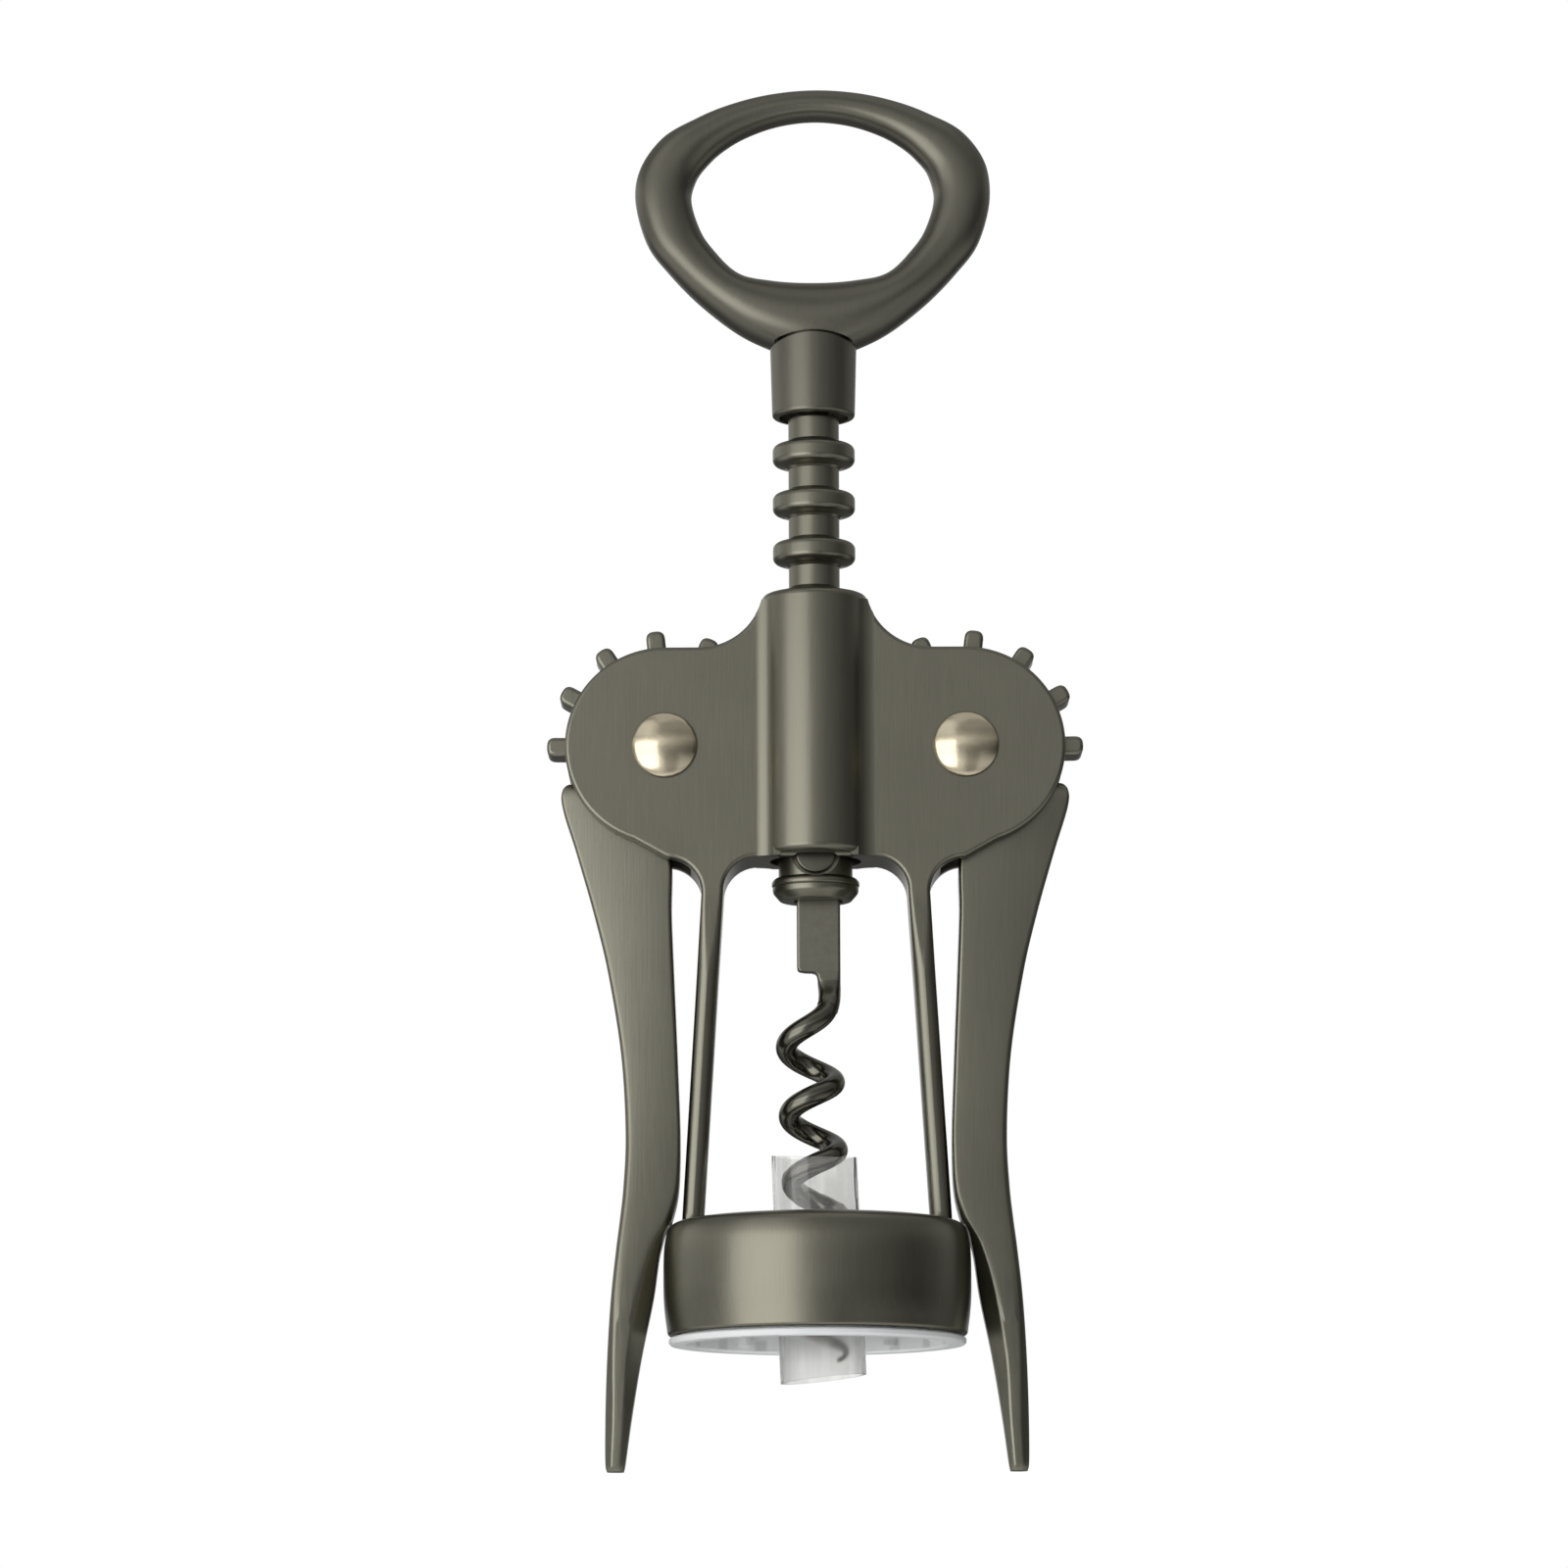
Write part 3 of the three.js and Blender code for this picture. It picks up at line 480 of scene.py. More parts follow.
def output_of(tree, kind, inputs=(), operation=None):
    """The first output of a new node."""
    node = tree.nodes.new(kind)
    if operation:
        node.operation = operation
    return Value(tree, fill(tree, node, inputs).outputs[0])


def values_of(tree, node):
    """A node's outputs by name."""
    return {socket.name: Value(tree, socket) for socket in node.outputs}


def new_tree(name, kind, inputs, outputs):
    """A shared node tree, and the values of its inputs by name."""
    tree = bpy.data.node_groups.new(name, kind)
    for way, sockets in (("INPUT", inputs), ("OUTPUT", outputs)):
        for label, socket_kind in sockets.items():
            tree.interface.new_socket(label, in_out=way, socket_type="NodeSocket" + socket_kind)
    return tree, values_of(tree, tree.nodes.new("NodeGroupInput"))


def geometry_tree(name, inputs):
    return new_tree(name, "GeometryNodeTree", inputs, {"Geometry": "Geometry"})


def end_tree(tree, geometry, material):
    """Makes copies real, paints them and hands them out."""
    real = output_of(tree, "GeometryNodeRealizeInstances", {"Geometry": geometry})
    painted = output_of(tree, "GeometryNodeSetMaterial", {"Geometry": real, "Material": material})
    fill(tree, tree.nodes.new("NodeGroupOutput"), {"Geometry": painted})
    return tree


def copies_along_tree():
    """Copies of a piece in a straight row."""
    tree, given = geometry_tree("Copies Along", {
        "Geometry": "Geometry", "Count": "Int", "Start": "Vector", "Step": "Vector",
        "Material": "Material",
    })
    line = output_of(tree, "GeometryNodeMeshLine", {
        "Count": given["Count"], "Start Location": given["Start"], "Offset": given["Step"],
    })
    copies = output_of(tree, "GeometryNodeInstanceOnPoints", {
        "Points": line, "Instance": given["Geometry"],
    })
    return end_tree(tree, copies, given["Material"])


def copies_round_tree():
    """Copies of a piece turned about an axis through a centre."""
    tree, given = geometry_tree("Copies Round", {
        "Geometry": "Geometry", "Count": "Int", "Centre": "Vector", "Axis": "Vector",
        "First Angle": "Float", "Angle Step": "Float", "Material": "Material",
    })
    points = output_of(tree, "GeometryNodePoints", {
        "Count": given["Count"], "Position": given["Centre"],
    })
    angle = output_of(tree, "GeometryNodeInputIndex") * given["Angle Step"] + given["First Angle"]
    turn = output_of(tree, "FunctionNodeAxisAngleToRotation", {"Axis": given["Axis"], "Angle": angle})
    copies = output_of(tree, "GeometryNodeInstanceOnPoints", {
        "Points": points, "Rotation": turn, "Instance": given["Geometry"],
    })
    return end_tree(tree, copies, given["Material"])


def wound_wire_tree():
    """A round wire that comes straight down a neck and winds into a leaning right-hand helix."""
    sizes = ["Wire Radius", "Tip Radius", "Taper Length", "Neck Radius", "Neck Length", "Winding Radius",
             "Pitch", "Neck Top", "Winding Start", "Tip Height", "Ease", "Lean Slope", "Lean Height",
             "Cross Height", "Shift"]
    tree, given = geometry_tree("Wound Wire", {
        "Steps": "Int", "Sides": "Int", "Material": "Material", **dict.fromkeys(sizes, "Float"),
    })
    share = output_of(tree, "GeometryNodeInputIndex") / (given["Steps"] - 1)
    height = share * (given["Tip Height"] - given["Neck Top"]) + given["Neck Top"]
    below = given["Winding Start"] - height
    wound = below + (below * below + given["Ease"] * given["Ease"]).through("SQRT")
    angle = wound / (given["Pitch"] * 2) * (-2 * math.pi)
    leaning = height.through("MINIMUM", given["Lean Height"]) - given["Cross Height"]
    lean = leaning * given["Lean Slope"]
    lowered = ((given["Neck Top"] - height) / given["Neck Length"]).through("MINIMUM", 1)
    x = angle.through("COSINE") * given["Winding Radius"] + lean + lowered * given["Shift"]
    y = angle.through("SINE") * given["Winding Radius"]
    left = ((height - given["Tip Height"]) / given["Taper Length"]).through("MINIMUM", 1)
    tapered = left * (given["Wire Radius"] - given["Tip Radius"]) + given["Tip Radius"]
    necked = lowered * (given["Wire Radius"] - given["Neck Radius"]) + given["Neck Radius"]
    line = output_of(tree, "GeometryNodeMeshLine", {"Count": given["Steps"]})
    path = output_of(tree, "GeometryNodeSetPosition", {
        "Geometry": output_of(tree, "GeometryNodeMeshToCurve", {"Mesh": line}),
        "Position": output_of(tree, "ShaderNodeCombineXYZ", [x, y, height]),
    })
    section = output_of(tree, "GeometryNodeCurvePrimitiveCircle", {
        "Resolution": given["Sides"], "Radius": 1,
    })
    skin = output_of(tree, "GeometryNodeCurveToMesh", {
        "Curve": path, "Profile Curve": section, "Scale": tapered.through("MINIMUM", necked),
        "Fill Caps": True,
    })
    return end_tree(tree, skin, given["Material"])


def grown(obj, tree, values):
    """Runs a geometry tree on an object with the given named sizes and bakes the result."""
    modifier = obj.modifiers.new("Grow", "NODES")
    modifier.node_group = tree
    for item in tree.interface.items_tree:
        if item.in_out == "INPUT" and item.name in values:
            modifier[item.identifier] = values[item.name]
    return baked(obj)


# Materials


def parts_of(vector):
    """The x, y and z of a vector."""
    node = fill(vector.tree, vector.tree.nodes.new("ShaderNodeSeparateXYZ"), [vector])
    return list(values_of(vector.tree, node).values())


def reach_of(x, y):
    """How far a place is from the upright axis."""
    return (x.through("POWER", 2) + y.through("POWER", 2)).through("SQRT")


def mapped(value, low, high, low_result=0.0, high_result=1.0, kind="LINEAR"):
    """A value carried from one range to another."""
    node = value.tree.nodes.new("ShaderNodeMapRange")
    node.interpolation_type = kind
    fill(value.tree, node, {
        "Value": value, "From Min": low, "From Max": high, "To Min": low_result, "To Max": high_result,
    })
    return Value(value.tree, node.outputs["Result"])


def bump_window(value, low, high):
    """One between two limits, with soft sides."""
    soft = (high - low) / 5
    rise = mapped(value, low - soft, low + soft, kind="SMOOTHSTEP")
    return rise * mapped(value, high + soft, high - soft, kind="SMOOTHSTEP")


def ramp(value, stops, blend="EASE"):
    """A grey level read from stops of (place, level)."""
    node = value.tree.nodes.new("ShaderNodeValToRGB")
    node.color_ramp.interpolation = blend
    elements = node.color_ramp.elements
    while len(elements) > 1:
        elements.remove(elements[-1])
    for i, (place, level) in enumerate(stops):
        element = elements[0] if i == 0 else elements.new(place)
        element.position = place
        element.color = (level, level, level, 1)
    return Value(value.tree, fill(value.tree, node, [value]).outputs[0])


def noise(place, counts, detail, roughness):
    """Noise with so many grains to the metre along each axis."""
    stretched = output_of(place.tree, "ShaderNodeVectorMath", [place, counts], "MULTIPLY")
    return output_of(place.tree, "ShaderNodeTexNoise", {
        "Vector": stretched, "Scale": 1.0, "Detail": detail, "Roughness": roughness,
    })


def toned(colour, amount):
    """The colour times an amount."""
    return output_of(amount.tree, "ShaderNodeVectorMath", {0: colour, "Scale": amount}, "SCALE")


def drawn_grain_group():
    """Fine hairlines in one direction with faint wiped patches, for brushed metal."""
    amounts = ["Tone Change", "Roughness", "Roughness Change", "Patch Change"]
    group, given = new_tree("Drawn Grain", "ShaderNodeTree", {
        "Position": "Vector", "Stretch": "Vector", "Colour": "Color", **dict.fromkeys(amounts, "Float"),
    }, {"Colour": "Color", "Roughness": "Float", "Height": "Float"})
    hair = noise(given["Position"], given["Stretch"], 3.0, 0.6) - 0.5
    wiped = noise(given["Position"], (140, 140, 140), 3.0, 0.55) - 0.5
    tone = hair * given["Tone Change"] + 1.0 + wiped * given["Patch Change"]
    rough = hair * given["Roughness Change"] + given["Roughness"] + wiped * given["Roughness Change"]
    fill(group, group.nodes.new("NodeGroupOutput"), {
        "Colour": toned(given["Colour"], tone), "Roughness": rough, "Height": hair,
    })
    return group


def new_material(name):
    """A material with its tree, its shader and the place on the object."""
    material = bpy.data.materials.new(name)
    material.use_nodes = True
    tree = material.node_tree
    place = values_of(tree, tree.nodes.new("ShaderNodeTexCoord"))["Object"]
    return material, tree, tree.nodes["Principled BSDF"], place


def bumped(height, strength, distance):
    return output_of(height.tree, "ShaderNodeBump", {
        "Strength": strength, "Distance": distance, "Height": height,
    })


def grained(place, stretch, colour, roughness, tone_change, patch_change, rough_change):
    """The colour, roughness and height of drawn grain."""
    node = place.tree.nodes.new("ShaderNodeGroup")
    node.node_tree = DRAWN_GRAIN
    return values_of(place.tree, fill(place.tree, node, {
        "Position": place, "Stretch": stretch, "Colour": colour, "Tone Change": tone_change,
        "Roughness": roughness, "Roughness Change": rough_change, "Patch Change": patch_change,
    }))


def brushed_metal(begun, colour, roughness, stretch, tone_change=0.22, patch_change=0.14, bump=0.2,
                  rough_change=0.08):
    """Metal with a drawn grain, made of a new material."""
    material, tree, shader, place = begun
    grain = grained(place, stretch, colour, roughness, tone_change, patch_change, rough_change)
    fill(tree, shader, {
        "Base Color": grain["Colour"], "Roughness": grain["Roughness"], "Metallic": 1,
        "Normal": bumped(grain["Height"], bump, 0.00005),
    })
    return material


def wire_steel(begun, blade, wire):
    """Smooth wire painted darker than its blade, as painted shade for the dark surroundings it reflects;
    the flattened blade, higher up, is paler and more matt.
    """
    _, tree, _, place = begun
    height = mapped(parts_of(place)[2], (TANG_FOOT - 3) * MILLIMETRE, (TANG_FOOT + 0.5) * MILLIMETRE)
    mix = tree.nodes.new("ShaderNodeMix")
    mix.data_type = "RGBA"
    sockets = [socket for socket in mix.inputs if socket.enabled]
    for value, socket in zip((height, wire, blade), sockets):
        plug(tree, value, socket)
    colour = Value(tree, next(socket for socket in mix.outputs if socket.enabled))
    matt = (height * 3).through("MINIMUM", 1)
    roughness = matt * (BLADE_ROUGHNESS - WIRE_ROUGHNESS) + WIRE_ROUGHNESS
    return brushed_metal(begun, colour, roughness, EVEN_GRAIN, 0.3, 0.2)


def lower_shaded_metal(begun, colour, roughness):
    """Brushed metal with painted shade: a little darker round the levers' lower part, near the bell's
    top.
    """
    offset = (parts_of(begun[3])[2] - LEVER_SHADE_Z * MILLIMETRE) / (LEVER_SHADE_SPREAD * MILLIMETRE)
    shade_weight = (offset * offset * -1).through("EXPONENT")
    return brushed_metal(begun, toned(colour, shade_weight * LEVER_PAINTED_SHADE + 1), roughness, UPRIGHT_GRAIN)


def cloudy_plastic(name, colour, roughness, transmission):
    """Milky moulded plastic with faint flow marks, and painted shade in short dark marks round its inner
    lip.
    """
    material, tree, shader, place = new_material(name)
    grain = grained(place, (260, 260, 900), colour, roughness, 0.1, 0.06, 0.1)
    x, y, z = parts_of(place)
    # Painted shade: dark marks round the inner lip, where the ribs and hollows lie in shade
    turns = y.through("ARCTAN2", x) * (PAINTED_SHADE_COUNT / (2 * math.pi))
    marks = bump_window(turns.through("FRACT"), *PAINTED_SHADE_SPAN)
    marks = marks * bump_window(z, PAINTED_SHADE_FOOT * MILLIMETRE, PAINTED_SHADE_TOP * MILLIMETRE)
    inside = reach_of(x, y).through("LESS_THAN", (LINER_INNER_RADIUS + 0.2) * MILLIMETRE)
    fill(tree, shader, {
        "Base Color": toned(grain["Colour"], marks * inside * PAINTED_SHADE_STRENGTH + 1),
        "Roughness": grain["Roughness"], "IOR": 1.46, "Transmission Weight": transmission,
        "Normal": bumped(grain["Height"], 0.15, 0.0001),
    })
    return material


def clear_film(name):
    """Thin tube of clear film with soft upright streaks, painted shade darkening it where it turns
    edge-on to the view, and milkier towards its lower end.
    """
    material, tree, shader, place = new_material(name)
    streaks = noise(place, (420, 420, 14), 3.0, 0.6)
    ripple = noise(place, (260, 260, 60), 2.0, 0.5)
    # Painted shade: the film's colour darkens where its surface turns edge-on to the view
    facing = values_of(tree, tree.nodes.new("ShaderNodeLayerWeight"))["Facing"]
    clear = mapped(streaks, 0.35, 0.65, 0.78, 0.97) * mapped(facing, 0.6, 0.95, 1.0, 0.45)
    fill(tree, shader, {
        "Base Color": toned((1.0, 1.0, 0.985), clear),
        "Roughness": mapped(parts_of(place)[2], 0, -10 * MILLIMETRE, 0.03, 0.25),
        "IOR": 1.45, "Transmission Weight": 0.93, "Normal": bumped(ripple, 0.8, 0.0004),
    })
    return material


DRAWN_GRAIN = drawn_grain_group()
UPRIGHT_GRAIN = (4200, 4200, 130)
EVEN_GRAIN = (900, 900, 900)
# Dark steel colour as painted shade: on the wire for the dark surroundings it reflects, on the pin head
# for its deep seat
SHADED_DARK_STEEL = (0.145, 0.141, 0.115)
WIRE_ROUGHNESS = 0.2
BLADE_ROUGHNESS = 0.36
cast_metal = brushed_metal(new_material("Gunmetal Plating"), (0.208, 0.201, 0.159), 0.32, UPRIGHT_GRAIN)
# The levers' plating is painted a little lighter than the casting's as a painted lift of light, and
# carries the painted shade near the bell
wing_metal = lower_shaded_metal(new_material("Gunmetal Plating Wings"), (0.215, 0.208, 0.165), 0.32)
# The handle's plating is painted darker than the casting's, as painted shade for the weaker light up at
# the handle
shaded_handle_metal = brushed_metal(new_material("Gunmetal Plating Handle"), (0.174, 0.168, 0.135), 0.36,
                             UPRIGHT_GRAIN)
worm_steel = wire_steel(new_material("Worm Steel With Painted Shade"), (0.195, 0.189, 0.153), SHADED_DARK_STEEL)
shaded_pin_steel = brushed_metal(new_material("Pin With Painted Shade"), SHADED_DARK_STEEL, 0.3, EVEN_GRAIN, 0.3, 0.2)
rivet_steel = brushed_metal(new_material("Polished Rivet"), (0.64, 0.57, 0.42), 0.19, (700, 700, 700),
                            0.16, 0.12, 0.5, 0.1)
milky_plastic = cloudy_plastic("Milky Lining", (0.9, 0.92, 0.92), 0.35, 0.2)
film_plastic = clear_film("Clear Film")
COPIES_ALONG = copies_along_tree()
COPIES_ROUND = copies_round_tree()
WOUND_WIRE = wound_wire_tree()


# Casting: plates, legs, barrel and bell

FLARE_X = BARREL_RADIUS + FLARE_RADIUS * math.cos(FLARE_START)


def flare(grow=0.0):
    """The hollow bend from the barrel down to the top of an ear."""
    centre_z = PIVOT_Z + EAR_RADIUS + FLARE_RADIUS
    return arc(FLARE_X, centre_z, FLARE_RADIUS + grow, math.pi + FLARE_START, 1.5 * math.pi, 16)


def clamped(value):
    return min(max(value, 0), 1)


def leg_x(z):
    share = (LEG_TOP_Z - z) / (LEG_TOP_Z - LEG_FOOT_Z)
    return LEG_TOP_X + (LEG_FOOT_X - LEG_TOP_X) * share


def leg_half_depth(z):
    """Narrows fast below the plates and then slowly."""
    share = clamped((LEG_TOP_Z - z) / (LEG_TOP_Z - LEG_FOOT_Z))
    eased = 1 - (1 - share) ** 1.9
    return PLATE_HALF_DEPTH + (LEG_FOOT_HALF_DEPTH - PLATE_HALF_DEPTH) * eased


def leg_edge(z):
    share = clamped((LEG_TOP_Z - z) / 10)
    return PLATE_EDGE + (0.97 * LEG_WIDTH / 2 - PLATE_EDGE) * share ** 1.5


def plates():
    """Both ears and both legs in one skin, with the front's edge rounded and the legs rounder still."""
    to_ear = flare()
    ear = arc(EAR_X, PIVOT_Z, EAR_RADIUS, math.pi / 2, EAR_FOOT_ANGLE - math.pi / 2, 48)
    outside = LEG_TOP_X + LEG_WIDTH / 2
    inside = LEG_TOP_X - LEG_WIDTH / 2
    outer = arc(outside + OUTER_FILLET, LEG_TOP_Z, OUTER_FILLET, math.pi / 2, math.pi, 12)
    leg_steps = 24
    heights = [LEG_TOP_Z + (LEG_FOOT_Z - LEG_TOP_Z) * i / leg_steps for i in range(1, leg_steps + 1)]
    leg_out = [Vector((leg_x(z) + LEG_WIDTH / 2, z)) for z in heights]
    leg_in = [Vector((leg_x(z) - LEG_WIDTH / 2, z)) for z in reversed(heights)]
    knee = Vector((inside, LEG_TOP_Z))
    inner = arc(inside - INNER_FILLET, PLATE_BOTTOM - INNER_FILLET, INNER_FILLET, 0, math.pi / 2, 12)
    outline = both_sides([*to_ear, *ear, *outer, *leg_out, *leg_in, knee, *inner])
    halves = [leg_half_depth(p.y) for p in outline]
    edges = [leg_edge(p.y) for p in outline]
    rings = soft_slab_rings(outline, halves, edges, 6)
    points = [point for ring in rings for point in ring]
    faces = skin_faces(rings, len(rings) - 1)
    count = len(outline)
    first = len(to_ear) + len(ear) + len(outer) - 1
    last = first + 2 * leg_steps + 1
    legs = ((first, last), (count - 1 - last, count - 1 - first))
    sheet = [i for i in range(count) if not any(low < i < high for low, high in legs)]
    for base in (0, (len(rings) - 1) * count):
        faces.append(tuple(base + i for i in sheet))
        for low, high in legs:
            for step in range(leg_steps):
                a = base + low + step
                b = base + high - step
                faces.append((a, a + 1, b - 1, b))
    return mesh_object("casting", points, faces)


def barrel():
    rings = []
    for end in (-1, 1):
        for step in range(6):
            turn = step / 5 * math.pi / 2
            if end < 0:
                turn = math.pi / 2 - turn
            inset = BARREL_EDGE * (1 - math.cos(turn))
            z = BARREL_TOP if end > 0 else BARREL_FOOT
            z -= end * BARREL_EDGE * (1 - math.sin(turn))
            front = arc(0, -BARREL_SPREAD, BARREL_RADIUS - inset, math.pi, 2 * math.pi, 40)
            back = arc(0, BARREL_SPREAD, BARREL_RADIUS - inset, 0, math.pi, 40)
            rings.append([(p.x, p.y, z) for p in (*front, *back)])
    return loft("barrel", rings)


def barrel_hollows():
    """Hollow corners that run smoothly from the plates to the barrel, up to the plates' flare."""
    centre_y = PLATE_HALF_DEPTH + BARREL_FILLET
    spread = math.asin((centre_y - BARREL_SPREAD) / (BARREL_RADIUS + BARREL_FILLET))
    centre_x = (BARREL_RADIUS + BARREL_FILLET) * math.cos(spread)
    bend = arc(centre_x, centre_y, BARREL_FILLET, math.pi + spread, 1.5 * math.pi, 10)
    inner_x = bend[0].x - 1
    inner_y = PLATE_HALF_DEPTH - 1
    section = flat(*bend, (centre_x, inner_y), (inner_x, inner_y), (inner_x, bend[0].y))
    flared = both_sides([*flare(0.02), Vector((FLARE_X, PLATE_BOTTOM + 0.02))])
    hollows = []
    for side_x in (LEFT, RIGHT):
        for side_y in (-1, 1):
            corner = [(side_x * p.x, side_y * p.y) for p in section]
            rings = [[(x, y, z) for x, y in corner] for z in (PLATE_BOTTOM, BARREL_TOP)]
            shield = soft_slab("shield", flared, BARREL_HALF_DEPTH, 1.6, 6)
            hollows.append(combined(loft("hollow", rings), shared=[shield]))
    return hollows


# From the bell's top to its rim: how far inside the widest part, and the height
BELL_STATIONS = [
    (3.6, 3.75), (2.3, 3.6), (1.4, 3.34), (0.93, 3.03), (0.63, 2.6), (0.43, 2.08), (0.27, 1.4),
    (0.13, 0.5), (0.04, -0.8), (0.0, -2.6), (0.0, -4.8), (0.06, -6.8), (0.22, -8.6), (0.45, -10.3),
]


def bell_outside(grow=0.0):
    """Half section of the bell's outside from its top's flat down to its rim."""
    side = []
    for i in range(41):
        inset, height = bend_through(BELL_STATIONS, i / 40, False)
        lift = grow if inset > 1 else 0
        side.append(Vector((BELL_RADIUS - max(inset, 0) + grow, height + lift)))
    rim_x = BELL_RADIUS - BELL_RIM_INSET - BELL_RIM_ROUND
    rim = arc(rim_x, BELL_RIM + BELL_RIM_ROUND, BELL_RIM_ROUND + grow, 0, -math.pi / 2, 6)
    return [*side, *rim]


def bell():
    top = BELL_TOP - BELL_TOP_THICKNESS
    inside = arc(BELL_INNER_RADIUS - LINER_CORNER, top - LINER_CORNER, LINER_CORNER, 0, math.pi / 2, 6)
    profile = flat(
        (BELL_HOLE_RADIUS + 0.3, BELL_TOP), *bell_outside(), (BELL_INNER_RADIUS + 0.25, BELL_RIM),
        (BELL_INNER_RADIUS, BELL_RIM + 0.25), *inside, (BELL_HOLE_RADIUS, top),
        (BELL_HOLE_RADIUS, BELL_TOP - 0.3),
    )
    return lathe("bell", profile, 160, looped=True)


def pivot_hole(x):
    return cross_bar("hole", PIVOT_HOLE_RADIUS, PIVOT_HOLE_LENGTH, x, 0, PIVOT_Z)


def make_casting():
    casting = combined(plates(), added=[barrel(), *barrel_hollows(), bell()])
    cuts = [upright_bar("bore", BORE_RADIUS, BORE_FOOT, BORE_TOP)]
    for side in (LEFT, RIGHT):
        cuts.append(cross_bar("pocket", POCKET_RADIUS, POCKET_WIDTH, side * PIVOT_X, 0, PIVOT_Z, 128))
        cuts.append(pivot_hole(side * PIVOT_X))
    combined(casting, cut=cuts)
    finish_piece(casting, "frame", ["frame"], cast_metal)


def make_lining():
    """Liner of the bell, with ribs that grip the bottle."""
    corner = arc(LINER_RADIUS - LINER_CORNER, LINER_TOP - LINER_CORNER, LINER_CORNER, math.pi / 2, 0, 6)
    profile = flat(
        (LINER_HOLE_RADIUS, 0), (LINER_HOLE_RADIUS, LINER_TOP), *corner,
        (LINER_RADIUS, LINER_FLANGE_TOP), (LINER_FLANGE_RADIUS - 0.2, LINER_FLANGE_TOP),
        (LINER_FLANGE_RADIUS, LINER_FLANGE_TOP - 0.2),
        (LINER_FLANGE_RADIUS, LINER_FLANGE_FOOT + 0.25), (LINER_FLANGE_RADIUS - 0.25, LINER_FLANGE_FOOT),
        (LINER_INNER_RADIUS + 0.3, LINER_FLANGE_FOOT), (LINER_INNER_RADIUS, LINER_FLANGE_FOOT + 0.3),
        (LINER_INNER_RADIUS, 0),
    )
    lining = lathe("bell_lining", profile, 160, looped=True)
    start = LINER_INNER_RADIUS + RIB_SUNK - RIB_REACH
    end = start + RIB_REACH
    outline = flat(
        (start + 0.4, -RIB_HALF_WIDTH), (end, -RIB_HALF_WIDTH), (end, RIB_HALF_WIDTH),
        (start + 0.4, RIB_HALF_WIDTH), (start, RIB_HALF_WIDTH / 2), (start, -RIB_HALF_WIDTH / 2),
    )
    rib = loft("ribs", [[(p.x, p.y, z) for p in outline] for z in (LINER_FLANGE_TOP, LINER_TOP / 2)])
    grown(rib, COPIES_ROUND, {
        "Count": LINER_RIB_COUNT,
        "Centre": (0, 0, 0),
        "Axis": (0, 0, 1),
        "First Angle": math.pi / LINER_RIB_COUNT,
        "Angle Step": 2 * math.pi / LINER_RIB_COUNT,
        "Material": milky_plastic,
    })
    combined(lining, added=[rib])
    finish_piece(lining, "frame", ["bell_liner"], milky_plastic)


# Rack, spindle, worm and film


def make_rack():
    core = lathe("ringed_rack", [
        (SPINDLE_BORE_RADIUS, RACK_FOOT), (CORE_RADIUS, RACK_FOOT), (CORE_RADIUS, RACK_TOP - 0.4),
        (CORE_RADIUS - 0.4, RACK_TOP), (SPINDLE_BORE_RADIUS, RACK_TOP),
    ], 80, looped=True)
    section = rounded_path(both_ends([
        (CORE_RADIUS - 0.3, -2.1, 0), (CORE_RADIUS, -2.0, 0.1), (CORE_RADIUS + 0.35, -1.6, 0.3),
        (RING_RADIUS - 0.4, -1.32, 0.4), (RING_RADIUS, -0.85, 0.35),
    ]), steps=4)
    ring = lathe("rings", section, 80, looped=True)
    grown(ring, COPIES_ALONG, {
        "Count": RING_COUNT,
        "Start": (0, 0, LOWEST_RING),
        "Step": (0, 0, RACK_PITCH),
        "Material": cast_metal,
    })
    combined(core, added=[ring])
    finish_piece(core, "rack", ["rack_sleeve"], cast_metal)


def make_spindle():
    collar = [(-1.1, 0, 0.2), (-0.15, 1.1, 0.3), (-0.1, 1.75, 0.1), (-0.22, 1.85, 0.05), (0, 2.0, 0.15)]
    profile = rounded_path([
        (0, COLLAR_FOOT, 0), *[(COLLAR_RADIUS + x, COLLAR_FOOT + z, cut) for x, z, cut in collar],
        (COLLAR_RADIUS, COLLAR_TOP - 0.45, 0.3), (COLLAR_RADIUS - 0.45, COLLAR_TOP, 0.3),
        (HUB_RADIUS, COLLAR_TOP, 0), (HUB_RADIUS, HUB_TOP, 0.5), (SPINDLE_RADIUS, HUB_TOP, 0),
        (SPINDLE_RADIUS, SPINDLE_TOP, 0.3), (0, SPINDLE_TOP, 0),
    ], closed=False, steps=4)
    spindle = lathe("screw_spindle", profile, 96)
    slot = rectangle(TANG_LEFT - 0.3, COLLAR_FOOT - 1, TANG_RIGHT + 0.3, TANG_TOP + 0.3)
    cuts = [soft_slab("slot", slot, TANG_THICKNESS / 2 + 0.3, 0.05, 1)]
    cuts.append(cross_bar("pin_hole", PIN_RADIUS + 0.06, 12, 0, 0, PIN_Z))
    for side in (-1, 1):
        cuts.append(cross_bar("pin_seat", PIN_SEAT_RADIUS, PIN_SEAT_LENGTH, 0, side * HUB_RADIUS, PIN_Z))
    combined(spindle, cut=cuts)
    finish_piece(spindle, "screw", ["spindle"], cast_metal)


